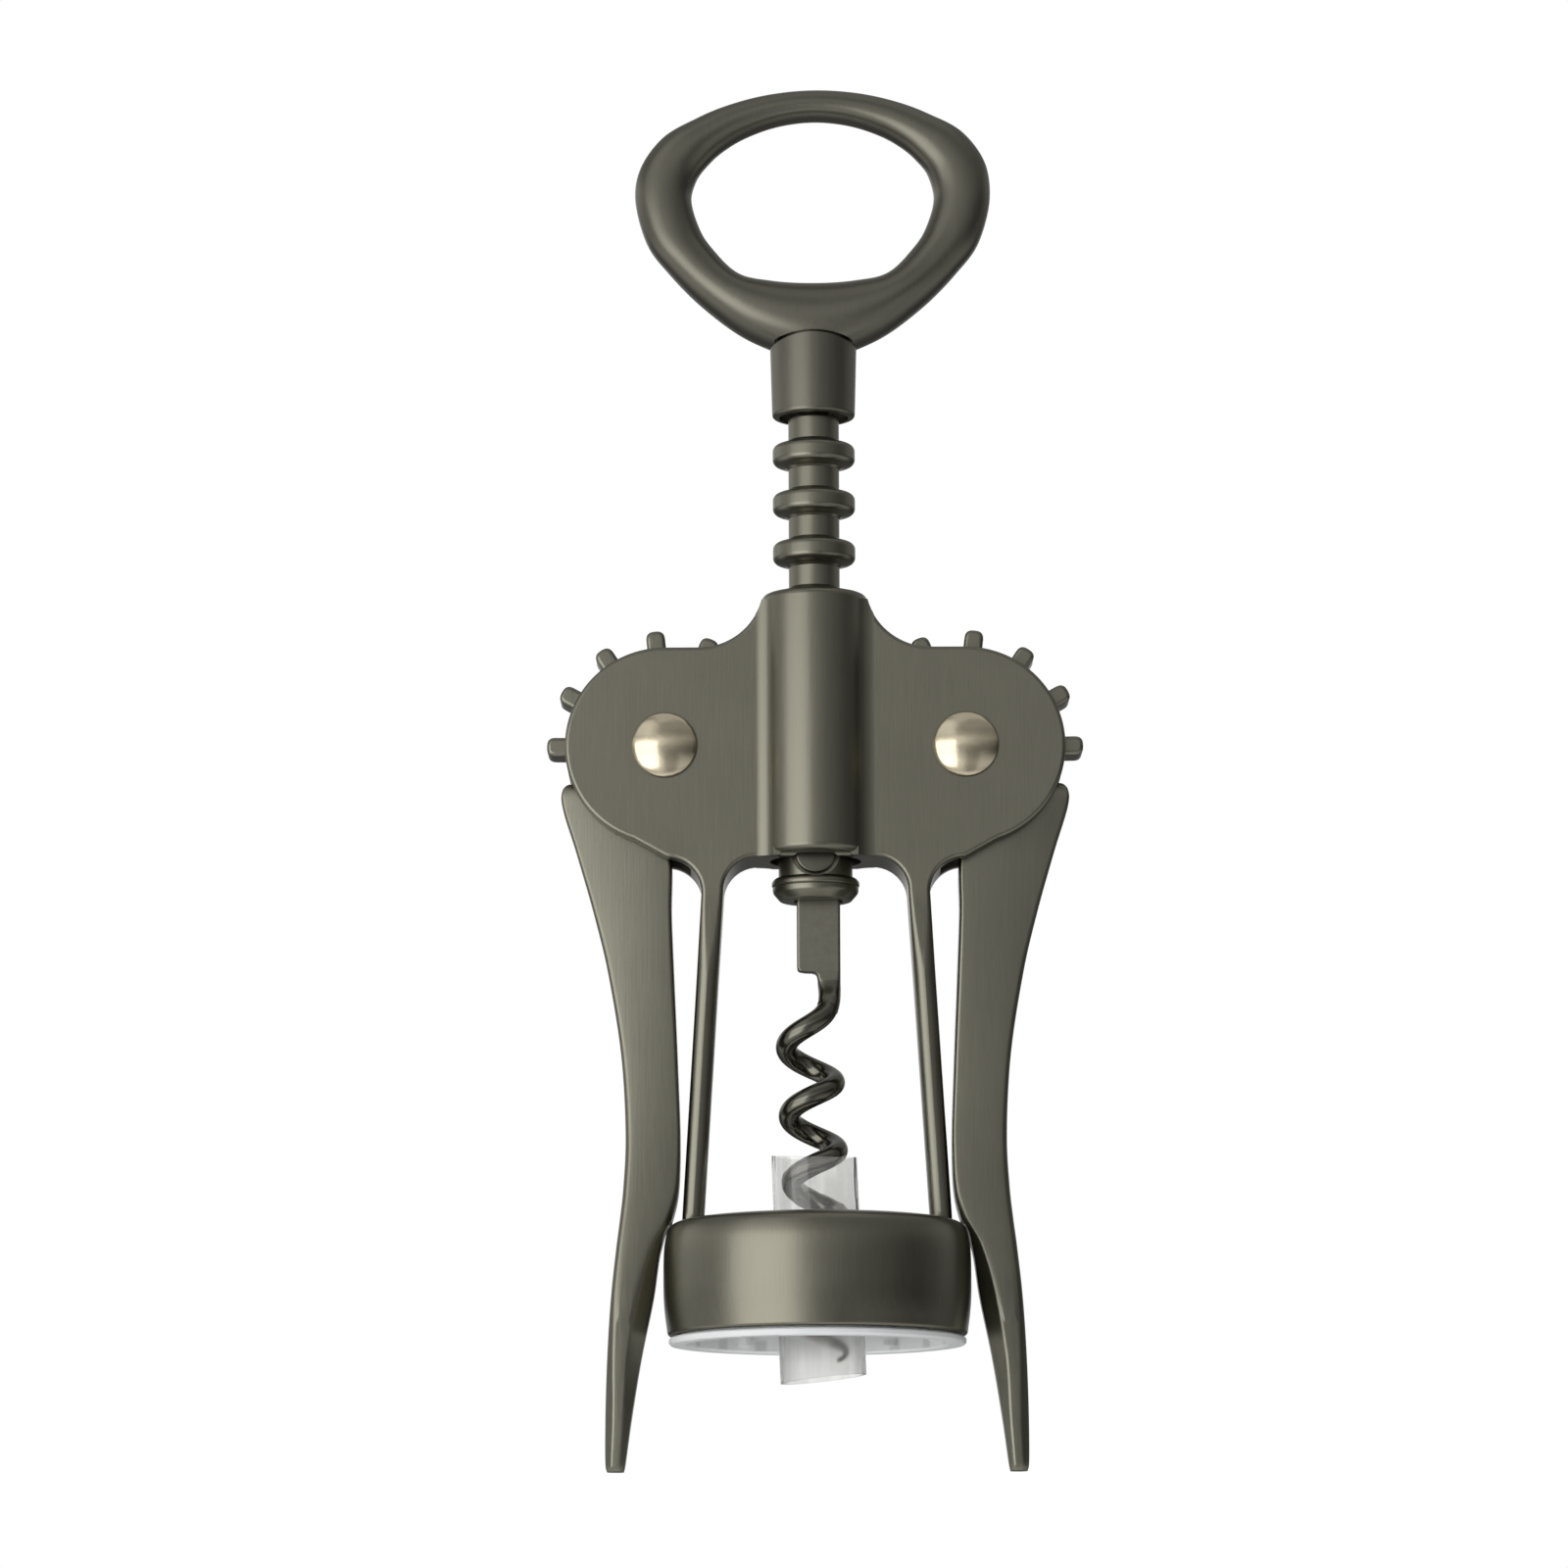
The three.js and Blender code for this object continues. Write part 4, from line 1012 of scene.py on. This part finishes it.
def make_pin():
    """Cross pin with a flat head in the hub's seat at each end."""
    half = HUB_RADIUS - PIN_HEAD_DEPTH
    under = HUB_RADIUS - PIN_HEAD_FOOT
    profile = rounded_path(both_ends([
        (0, -half, 0), (PIN_HEAD_RADIUS, -half, 0.3), (PIN_HEAD_RADIUS, -under, 0.1),
        (PIN_RADIUS, -under, 0),
    ]), closed=False)
    pin = laid_down(lathe("cross_pin", profile, 64), 0, 0, PIN_Z)
    finish_piece(pin, "screw", ["worm_pin"], shaded_pin_steel)


LEAN_SLOPE = (NECK_X - HELIX_RADIUS) / (HELIX_LEAN_Z - HELIX_CROSS_Z)


def wire_centre(z):
    """Middle of the neck at a height, from straight under the blade to the wire's winding path."""
    below = HELIX_START - z
    wound = below + math.sqrt(below ** 2 + WINDING_EASE ** 2)
    angle = -math.pi * wound / HELIX_PITCH
    lean = LEAN_SLOPE * (min(z, HELIX_LEAN_Z) - HELIX_CROSS_Z)
    x = HELIX_RADIUS * math.cos(angle) + lean + HELIX_SHIFT
    straight = Vector((TANG_RIGHT - NECK_WIDTH / 2, 0, z))
    share = clamped((NECK_TOP - z) / (NECK_TOP - NECK_FOOT - 0.8))
    return straight.lerp(Vector((x, HELIX_RADIUS * math.sin(angle), z)), share * share * (3 - 2 * share))


# Down the blade to its neck: height, left side and how far its corners are cut back
BLADE_STATIONS = [
    (55.4, -2.35, 0.3), (55.2, -2.5, 0.4), (37.1, -2.5, 0.4), (36.75, -2.43, 0.4), (36.54, -2.2, 0.4),
    (36.44, -1.6, 0.4), (36.4, -0.6, 0.42), (36.26, -0.15, 0.45), (35.95, 0.1, 0.5), (35.4, 0.2, 0.55),
]


def section_ring(centre, aside, front, half_width, half_depth, cut):
    corners = both_ends([(-half_width, -half_depth, cut), (half_width, -half_depth, cut)])
    return [centre + aside * p.x + front * p.y for p in rounded_path(corners, steps=8)]


def blade_and_neck():
    """Flat blade and the forged change below it to the round wire."""
    rings = []
    for z, left, cut in BLADE_STATIONS:
        middle = Vector(((left + TANG_RIGHT) / 2, 0, z))
        rings.append(section_ring(middle, Vector((1, 0, 0)), Vector((0, -1, 0)), (TANG_RIGHT - left) / 2,
                                  TANG_THICKNESS / 2, cut))
    steps = 20
    for i in range(1, steps + 1):
        share = i / steps
        z = NECK_TOP + (NECK_FOOT - NECK_TOP) * share
        down = (wire_centre(z - 0.05) - wire_centre(z + 0.05)).normalized()
        aside = (Vector((1, 0, 0)) - down * down.x).normalized()
        half_width = NECK_WIDTH / 2 + (WIRE_RADIUS + 0.02 - NECK_WIDTH / 2) * share
        half_depth = TANG_THICKNESS / 2 + (WIRE_RADIUS - TANG_THICKNESS / 2) * share
        rings.append(section_ring(wire_centre(z), aside, down.cross(aside), half_width, half_depth,
                                  0.55 + 0.8 * share ** 0.5))
    return loft("wound_worm", rings)


def make_worm():
    blade = blade_and_neck()
    wire = grown(placed("wire", bpy.data.meshes.new("wire")), WOUND_WIRE, {
        "Steps": 300, "Sides": 24, "Material": worm_steel,
        "Wire Radius": WIRE_RADIUS, "Tip Radius": WORM_TIP_RADIUS, "Taper Length": 0.75 * HELIX_PITCH,
        "Neck Radius": WIRE_RADIUS - 0.1, "Neck Length": 0.4, "Neck Top": NECK_FOOT + 0.6,
        "Winding Radius": HELIX_RADIUS, "Pitch": HELIX_PITCH, "Shift": HELIX_SHIFT,
        "Winding Start": HELIX_START, "Tip Height": WORM_TIP, "Ease": WINDING_EASE,
        "Lean Slope": LEAN_SLOPE, "Lean Height": HELIX_LEAN_Z, "Cross Height": HELIX_CROSS_Z,
    })
    face_outwards(wire.data)
    combined(blade, added=[wire], cut=[cross_bar("hole", PIN_RADIUS + 0.3, 6, 0, 0, PIN_Z)])
    finish_piece(blade, "screw", ["worm"], worm_steel)


def lens(half_width, half_depth, count, ripple):
    """Two shallow arcs that meet in the creases of a tube that lay flat."""
    radius = (half_width ** 2 + half_depth ** 2) / (2 * half_depth)
    spread = math.asin(min(half_width / radius, 1))
    front = []
    for i in range(count):
        angle = -spread + 2 * spread * i / count
        wave = 1 + ripple * math.sin(9 * angle)
        depth = (radius - half_depth - radius * math.cos(angle)) * wave
        front.append(Vector((radius * math.sin(angle), depth)))
    return [*front, *[-p for p in front]]


def make_film():
    count = 40
    levels = 30
    skins = []
    for wall in (0, FILM_WALL):
        rings = []
        for i in range(levels + 1):
            share = i / levels
            slope = FILM_FOOT_SLOPE * (1 - share) + FILM_TOP_SLOPE * share
            ripple = FILM_RIPPLE * math.sin(5 * share + 1)
            section = lens(FILM_HALF_WIDTH - wall, FILM_HALF_DEPTH - wall, count, ripple)
            ring = []
            for p in section:
                dip = FILM_DIP * share * min(p.y, 0) / FILM_HALF_DEPTH
                z = FILM_TOP - FILM_LENGTH * (1 - share) + slope * p.x + dip
                lean = LEAN_SLOPE * (z - HELIX_CROSS_Z) + FILM_SHIFT
                ring.append((p.x + lean, p.y, z))
            rings.append(ring)
        skins.append(rings)
    film = loft("film_sleeve", [*skins[0], *reversed(skins[1])], looped=True)
    finish_piece(film, "tip_sleeve", ["tip_sleeve"], film_plastic)


# Turning handle


def bend_through(stations, share, closed):
    """A point on a smooth curve through stations, spaced by the root of their distances."""
    count = len(stations)
    place = (count if closed else count - 1) * share
    first = math.floor(place)
    weight = place - first
    if not closed and first >= count - 1:
        first = count - 2
        weight = 1.0
    b = Vector(stations[first % count])
    c = Vector(stations[(first + 1) % count])
    a = Vector(stations[(first - 1) % count]) if closed or first > 0 else 2 * b - c
    d = Vector(stations[(first + 2) % count]) if closed or first + 2 < count else 2 * c - b
    span = max(math.sqrt((c - b).length), 1e-4)
    before = math.sqrt((b - a).length) or span
    after = math.sqrt((d - c).length) or span
    leave = ((b - a) / before - (c - a) / (before + span) + (c - b) / span) * span
    arrive = ((c - b) / span - (d - b) / (span + after) + (d - c) / after) * span
    curve = 2 * b - 2 * c + leave + arrive
    sway = 3 * c - 3 * b - 2 * leave - arrive
    return b + leave * weight + sway * weight ** 2 + curve * weight ** 3


# Half of the ring from its top to its base: hole edge, outer edge and half depth, as shares
RING_STATIONS = [
    (0, 0.3, 0, 0.406, 0.52),
    (0.19, 0.286, 0.27, 0.391, 0.52),
    (0.346, 0.2535, 0.5, 0.353, 0.53),
    (0.456, 0.217, 0.66, 0.31, 0.55),
    (0.572, 0.157, 0.854, 0.237, 0.58),
    (0.655, 0.084, 0.977, 0.121, 0.6),
    (0.683, 0.008, 1.0, 0.008, 0.62),
    (0.632, -0.112, 0.934, -0.156, 0.65),
    (0.541, -0.199, 0.814, -0.2615, 0.7),
    (0.415, -0.276, 0.609, -0.395, 0.79),
    (0.24, -0.302, 0.34, -0.517, 0.84),
    (0, -0.311, 0, -0.58, 0.86),
]
RING_LEAN = 0.018
RING_LEAN_RISE = 4
RING_FULLNESS = 0.85


def handle_ring():
    left = [(-a, b, -c, d, e) for a, b, c, d, e in reversed(RING_STATIONS[1:-1])]
    loop = [*RING_STATIONS, *left]
    hole_curve = [row[0:3] for row in loop]
    rest_curve = [row[2:5] for row in loop]
    widest = max(row[0] for row in RING_STATIONS)
    hole_scale = HANDLE_HOLE_HALF_WIDTH / HANDLE_HALF_WIDTH / widest
    middle = HANDLE_TOP - RING_STATIONS[0][3] * HANDLE_HEIGHT
    steps = 10 * len(loop)
    sides = 48
    rings = []
    for i in range(steps):
        hole = bend_through(hole_curve, i / steps, True)
        rest = bend_through(rest_curve, i / steps, True)
        inner = Vector((hole.x * HANDLE_HALF_WIDTH * hole_scale, 0, middle + hole.y * HANDLE_HEIGHT))
        outer = Vector((rest.x * HANDLE_HALF_WIDTH, 0, middle + rest.y * HANDLE_HEIGHT))
        centre = (inner + outer) / 2
        arm = (outer - inner) / 2
        depth = rest.z * HANDLE_HALF_DEPTH
        ring = []
        for j in range(sides):
            angle = 2 * math.pi * j / sides
            along, aside = (
                math.copysign(abs(reach) ** RING_FULLNESS, reach)
                for reach in (math.cos(angle), math.sin(angle))
            )
            point = centre + arm * along
            crown = clamped((point.z - middle) / RING_LEAN_RISE)
            ring.append((point.x, depth * aside, point.z + RING_LEAN * point.x * crown))
        rings.append(ring)
    return loft("turning_handle", rings, looped=True)


def make_handle():
    socket = rounded_path([
        (0, SOCKET_FOOT, 0), (SOCKET_FOOT_RADIUS, SOCKET_FOOT, 0.55),
        (SOCKET_TOP_RADIUS, SOCKET_TOP, 0.45), (0, SOCKET_TOP + 0.8, 0),
    ], closed=False)
    arch, inside, seam = (
        cross_bar("arch", SEAM_ARCH_RADIUS + grow, length, 0, 0, SEAM_HEIGHT - SEAM_ARCH_RADIUS, 256)
        for grow, length in ((0, 20), (0, 22), (SEAM_WIDTH, 20))
    )
    outer = combined(lathe("socket", socket, 96), shared=[arch])
    core = upright_bar("core", SOCKET_CORE_RADIUS, SOCKET_FOOT + 3, SOCKET_TOP)
    handle = combined(handle_ring(), added=[outer, core])
    recess = upright_bar("recess", SOCKET_CORE_RADIUS, SOCKET_FOOT - 1, SOCKET_FOOT + SOCKET_RECESS)
    bore = upright_bar("bore", SPINDLE_BORE_RADIUS, SOCKET_FOOT - 1, SPINDLE_TOP + 0.3, 64)
    reach = lathe("reach", rectangle(4.5, SOCKET_FOOT, 6.6, SOCKET_TOP + 2), 96, looped=True)
    span = soft_slab("span", rectangle(-5.2, SOCKET_FOOT, 5.2, SOCKET_TOP + 3), 9, 0.05, 1)
    combined(seam, shared=[reach, span], cut=[inside])
    combined(handle, cut=[recess, bore, seam])
    finish_piece(handle, "screw", ["handle"], shaded_handle_metal)


# Levers

LEFT_WING_TURN = 0.0027
WING_DRAFT = 0.055
WING_DRAFT_END = 0.56
WING_DRAFT_FADE = 0.3

# Down the arm: drop, outer edge and inner edge, then half thickness and the two bevels, as shares
ARM_STATIONS = [
    (0.049, 0.935, 0.5, 0.5, 0.05, 0.05),
    (0.052, 0.962, 0.4, 0.6, 0.05, 0.05),
    (0.058, 0.988, 0.32, 0.68, 0.06, 0.06),
    (0.068, 1.0, 0.27, 0.7, 0.07, 0.07),
    (0.08, 0.99, 0.24, 0.7, 0.08, 0.08),
    (0.147, 0.85, -0.035, 0.7, 0.08, 0.08),
    (0.231, 0.686, -0.046, 0.72, 0.09, 0.08),
    (0.316, 0.548, -0.07, 0.74, 0.1, 0.09),
    (0.443, 0.414, -0.108, 0.8, 0.11, 0.08),
    (0.549, 0.379, -0.132, 0.88, 0.13, 0.07),
    (0.612, 0.399, -0.119, 0.93, 0.13, 0.09),
    (0.654, 0.428, -0.06, 0.97, 0.13, 0.16),
    (0.697, 0.464, 0.05, 1.0, 0.13, 0.3),
    (0.76, 0.509, 0.112, 0.98, 0.14, 0.5),
    (0.845, 0.545, 0.228, 0.88, 0.2, 0.44),
    (0.931, 0.562, 0.322, 0.72, 0.26, 0.24),
    (0.992, 0.56, 0.378, 0.55, 0.2, 0.16),
    (1.0, 0.548, 0.39, 0.46, 0.16, 0.12),
]
CROWN_SHARE = 0.013
CROWN_STEPS = 8


def arm_section(outer, inner, half, outer_bevel, inner_bevel, draft):
    """Plan of the arm at one height, with a crowned front and back and softened ridges."""
    soft = 0.3
    crown = CROWN_SHARE * (abs(outer - inner) - outer_bevel - inner_bevel)
    low = half - crown
    ends = [(outer, outer_bevel), (inner, inner_bevel)]
    ring = []
    for side in (1, -1):
        (near, near_bevel), (far, far_bevel) = ends[::side]
        across = 1 if near > far else -1
        start = near - across * near_bevel
        end = far + across * far_bevel
        middle = (start + (end - start) * 0.5, side * low, 0)
        near_edge = [(near, 0, 0), (near, side * (low - near_bevel), soft), (start, side * low, soft)]
        far_edge = [(end, side * low, soft), (far, side * (low - far_bevel), soft), (far, 0, 0)]
        ring += rounded_path([*near_edge, middle], closed=False, steps=4)[1:-1]
        for i in range(1, CROWN_STEPS):
            u = 2 * i / CROWN_STEPS - 1
            x = start + (end - start) * i / CROWN_STEPS
            ring.append(Vector((x, side * (low + crown * (1 - u * u)))))
        ring += rounded_path([middle, *far_edge], closed=False, steps=4)[1:-1]
    return [Vector((p.x, p.y * (1 - draft * (p.x - (outer + inner) / 2) / half))) for p in ring]


def arm():
    edge_curve = [row[0:3] for row in ARM_STATIONS]
    face_curve = [row[3:6] for row in ARM_STATIONS]
    steps = 8 * (len(ARM_STATIONS) - 1)
    rings = []
    for i in range(steps + 1):
        edge = bend_through(edge_curve, i / steps, False)
        face = bend_through(face_curve, i / steps, False) * LEVER_BULGE
        z = PIVOT_Z - edge.x * LEVER_LENGTH
        draft = WING_DRAFT * clamped((WING_DRAFT_END - edge.x) / WING_DRAFT_FADE)
        outer, inner = (PIVOT_X + share * LEVER_REACH for share in (edge.y, edge.z))
        section = arm_section(outer, inner, *face, draft)
        rings.append([(p.x, p.y, z) for p in section])
    return loft("wing_right", rings)


def arm_root():
    horn = ARM_STATIONS[3]
    waist = ARM_STATIONS[5]
    horn_x = PIVOT_X + horn[1] * LEVER_REACH
    horn_z = PIVOT_Z - horn[0] * LEVER_LENGTH
    waist_z = PIVOT_Z - waist[0] * LEVER_LENGTH
    outline = rounded_path([
        (PIVOT_X + GEAR_RADIUS * 0.65, PIVOT_Z, 0),
        (horn_x - 1.2, horn_z + 1.2, 0.6),
        (horn_x - 0.2, horn_z - 0.6, 0.5),
        (PIVOT_X + waist[1] * LEVER_REACH - 0.2, waist_z, 0),
        (PIVOT_X + waist[2] * LEVER_REACH, waist_z, 0),
        (PIVOT_X - GEAR_RADIUS * 0.5, PIVOT_Z - GEAR_RADIUS * 0.65, 0),
    ])
    return soft_slab("root", outline, 2.2, 0.35)


def tooth():
    half = TOOTH_WIDTH / 2
    outline = rounded_path(both_ends([(GEAR_RADIUS / 2, -half, 0), (TOOTH_TIP_RADIUS, -half, 1.1)]))
    return soft_slab("teeth", outline, GEAR_THICKNESS / 2, 0.55)


def make_wings():
    disc_outline = arc(PIVOT_X, PIVOT_Z, GEAR_RADIUS, 0, 2 * math.pi, 96)[:-1]
    disc = soft_slab("disc", disc_outline, GEAR_THICKNESS / 2, 0.35)
    teeth = grown(tooth(), COPIES_ROUND, {
        "Count": TOOTH_COUNT,
        "Centre": (PIVOT_X, 0, PIVOT_Z),
        "Axis": (0, 1, 0),
        "First Angle": -(math.pi + TOOTH_ANGLE / 2 + TOOTH_LEAD),
        "Angle Step": TOOTH_ANGLE,
        "Material": wing_metal,
    })
    around_bell = [(0, BELL_RIM - 0.3), *reversed(bell_outside(0.3)), (0, BELL_TOP + 0.3)]
    envelope = lathe("envelope", around_bell, 160)
    wing = combined(arm(), added=[disc, arm_root()])
    combined(wing, added=[teeth], cut=[pivot_hole(PIVOT_X), envelope])
    twin = mirrored(wing, "wing_left")
    hinge = Matrix.Translation((-PIVOT_X, 0, PIVOT_Z))
    twin.data.transform(hinge @ Matrix.Rotation(LEFT_WING_TURN, 4, "Y") @ hinge.inverted())
    finish_piece(wing, "lever_right", ["lever_right"], wing_metal)
    finish_piece(twin, "lever_left", ["lever_left"], wing_metal)


# Rivets


def rivet_dome():
    """Half section of a rivet's head from its middle to its rim."""
    rise = RIVET_HEIGHT - RIVET_EDGE
    sphere = (RIVET_RADIUS ** 2 + rise ** 2) / (2 * rise)
    spread = math.asin((RIVET_RADIUS - RIVET_RIM) / sphere)
    dome = []
    for i in range(15):
        angle = spread * i / 14
        dome.append(Vector((sphere * math.sin(angle), RIVET_HEIGHT + sphere * (math.cos(angle) - 1))))
    last = dome[-1]
    slope = (last.y - dome[-2].y) / (last.x - dome[-2].x)
    rim = RIVET_RADIUS - last.x
    corner = Vector((RIVET_RADIUS, last.y + slope * rim))
    foot = Vector((RIVET_RADIUS, 0))
    return dome + [soft_bend(last, corner, foot, i / 8) for i in range(1, 9)]


def make_rivets():
    """Heads with a shank in front, and the heads that close them behind."""
    front = flat(*rivet_dome(), (SHANK_RADIUS, 0), (SHANK_RADIUS, -SHANK_LENGTH), (0, -SHANK_LENGTH))
    hole = [(SHANK_HOLE_RADIUS, 0), (SHANK_HOLE_RADIUS, SHANK_HOLE_DEPTH), (0, SHANK_HOLE_DEPTH)]
    back = flat(*rivet_dome(), *hole)
    for side, label in ((LEFT, "left"), (RIGHT, "right")):
        for name, node, profile, way in (("head", "rivet", front, 1), ("back", "rivet_cap", back, -1)):
            rivet = lathe(f"rivet_{name}_{label}", profile, 72)
            laid_down(rivet, side * EAR_X, -way * RIVET_FACE, PIVOT_Z, way * math.pi / 2)
            finish_piece(rivet, "frame", [f"{node}_{label}"], rivet_steel)


# Studio


# Light round the object: degrees to the right of the camera's side, and the brightness there
STUDIO_ROUND = [
    (-180, 1.26), (-162, 0.91), (-139, 0.48), (-122, 0.96), (-96, 0.62), (-76, 0.62), (-20, 0.9),
    (-6, 0.8), (2, 0.63), (24, 0.38), (47, 0.23), (72, 0.08), (91, 0.12), (114, 0.34), (130, 0.3),
    (151, 0.24), (165, 0.91), (180, 1.26),
]
# Rise of a direction as its sine, and the share of that light, then the light that is even all round
STUDIO_RISE = [
    (-1.0, 0.08), (-0.8, 0.17), (-0.5, 0.5), (-0.2, 0.55), (0.06, 0.6), (0.15, 1.0), (0.27, 1.0),
    (0.38, 0.4), (0.55, 0.1), (1.0, 0.0),
]
STUDIO_EVEN = [
    (-1.0, 0.28), (-0.5, 0.5), (-0.3, 0.28), (-0.1, 0.0), (0.2, 0.0), (0.32, 0.2), (0.52, 0.2),
    (0.64, 0.3), (1.0, 0.3),
]
BRIGHTEST = 1.26
# Patches of that light: radians to the right, rise, and what they add to it or take from it
WINDOW_TURN = (-1.25, -0.35)
WINDOW_RISE = (0.42, 0.8)
WINDOW_GAIN = 0.5
DARK_CARD_TURN = (-0.02, 0.48)
DARK_CARD_RISE = (-0.85, -0.1)
DARK_CARD_SHADE = -0.5
TABLE_SHADE = -0.88
BACKDROP = 1.0
# Floor and camera, in metres and degrees
FLOOR_Z = -0.45
FLOOR_RADIUS = 0.6
FLOOR_GLOW = 0.45
CAMERA_PLACE = (-0.00411, -0.8092, -0.0710)
CAMERA_TILT = 99.3
CAMERA_ROLL = -0.21
CAMERA_LENS = 142.76


def make_studio():
    world = bpy.data.worlds.new("Studio")
    bpy.context.scene.world = world
    world.use_nodes = True
    tree = world.node_tree
    x, y, z = parts_of(values_of(tree, tree.nodes.new("ShaderNodeTexCoord"))["Generated"])
    turn = x.through("ARCTAN2", y * -1)
    height = z * 0.5 + 0.5
    stops = [(angle / 360 + 0.5, level / BRIGHTEST) for angle, level in STUDIO_ROUND]
    around = ramp(turn * (1 / (2 * math.pi)) + 0.5, stops, "LINEAR")
    share, even = (
        ramp(height, [(rise / 2 + 0.5, level) for rise, level in table], "LINEAR")
        for table in (STUDIO_RISE, STUDIO_EVEN)
    )
    level = around * share * BRIGHTEST + even
    table_edge = ramp(y, [(0.3, 0), (0.8, 1)]) * ramp(height, [(0.46, 1), (0.5, 0)])
    level = level * (table_edge * TABLE_SHADE + 1)
    window = bump_window(turn, *WINDOW_TURN) * bump_window(z, *WINDOW_RISE)
    level = window * WINDOW_GAIN + level
    dark_card = bump_window(turn, *DARK_CARD_TURN) * bump_window(z, *DARK_CARD_RISE)
    level = level * (dark_card * DARK_CARD_SHADE + 1)
    rays = values_of(tree, tree.nodes.new("ShaderNodeLightPath"))
    behind = ramp(y, [(0.99, 0), (1.0, 1)]) * ramp(height, [(0.51, 0), (0.54, 1)])
    shown = rays["Is Camera Ray"].through("MAXIMUM", rays["Is Transmission Ray"])
    shown = shown.through("MAXIMUM", rays["Is Glossy Ray"] * behind)
    strength = (level * -1 + BACKDROP) * shown + level
    fill(tree, tree.nodes["Background"], {"Color": (1, 1, 1), "Strength": strength})


def make_floor():
    """A pale floor far below the object, clear from below and towards its edge."""
    floor = lathe("floor", [(0, FLOOR_Z), (FLOOR_RADIUS, FLOOR_Z)], 96)
    if floor.data.polygons[0].normal.z < 0:
        floor.data.flip_normals()
    material, tree, shader, place = new_material("Pale Floor")
    rays = values_of(tree, tree.nodes.new("ShaderNodeLightPath"))
    seen = rays["Is Glossy Ray"].through("MAXIMUM", rays["Is Transmission Ray"])
    seen = rays["Is Camera Ray"].through("MAXIMUM", seen)
    fill(tree, shader, {
        "Base Color": (0.8, 0.8, 0.8), "Roughness": 0.9, "Emission Color": (1, 1, 1),
        "Emission Strength": seen * FLOOR_GLOW,
    })
    x, y, _ = parts_of(place)
    fade = ramp(reach_of(x, y) / FLOOR_RADIUS, [(0.3, 0), (0.95, 1)])
    under = values_of(tree, tree.nodes.new("ShaderNodeNewGeometry"))["Backfacing"]
    clear = output_of(tree, "ShaderNodeBsdfTransparent")
    solid = Value(tree, shader.outputs[0])
    surface = output_of(tree, "ShaderNodeMixShader", [fade.through("MAXIMUM", under), solid, clear])
    plug(tree, surface, tree.nodes["Material Output"].inputs["Surface"])
    floor.data.materials.append(material)


def make_lamp(name, place, target, width, height, power):
    light = bpy.data.lights.new(name, "AREA")
    light.shape = "RECTANGLE"
    light.size = width
    light.size_y = height
    light.energy = power
    lamp = placed(name, light)
    lamp.location = place
    lamp.rotation_mode = "QUATERNION"
    lamp.rotation_quaternion = (Vector(target) - Vector(place)).to_track_quat("-Z", "Y")
    return lamp


def make_camera():
    camera = bpy.data.cameras.new("Camera")
    camera.sensor_width = 36
    camera.lens = CAMERA_LENS
    camera.clip_start = 0.01
    camera.clip_end = 50
    stand = placed("Camera", camera)
    stand.location = CAMERA_PLACE
    tilt = Euler((math.radians(CAMERA_TILT), 0, 0)).to_matrix()
    roll = Euler((0, 0, math.radians(CAMERA_ROLL))).to_matrix()
    stand.rotation_euler = (tilt @ roll).to_euler()
    bpy.context.scene.camera = stand


make_casting()
make_lining()
make_rack()
make_spindle()
make_pin()
make_worm()
make_film()
make_handle()
make_wings()
make_rivets()
make_studio()
make_floor()
make_lamp("Overhead Softbox", (0.1, -0.2, 1.3), (0, 0, 0.05), 1.2, 1.2, 1.0)
make_lamp("Window Softbox", (-0.292, -0.342, -0.054), (0, 0, -0.054), 0.43, 0.46, 0.99)
bounce = make_lamp("Table Bounce", (0, -0.1, -0.3), (0, 0, 0), 0.6, 0.6, 0.6)
bounce.visible_glossy = False
make_camera()
bpy.context.scene.view_settings.view_transform = "Standard"
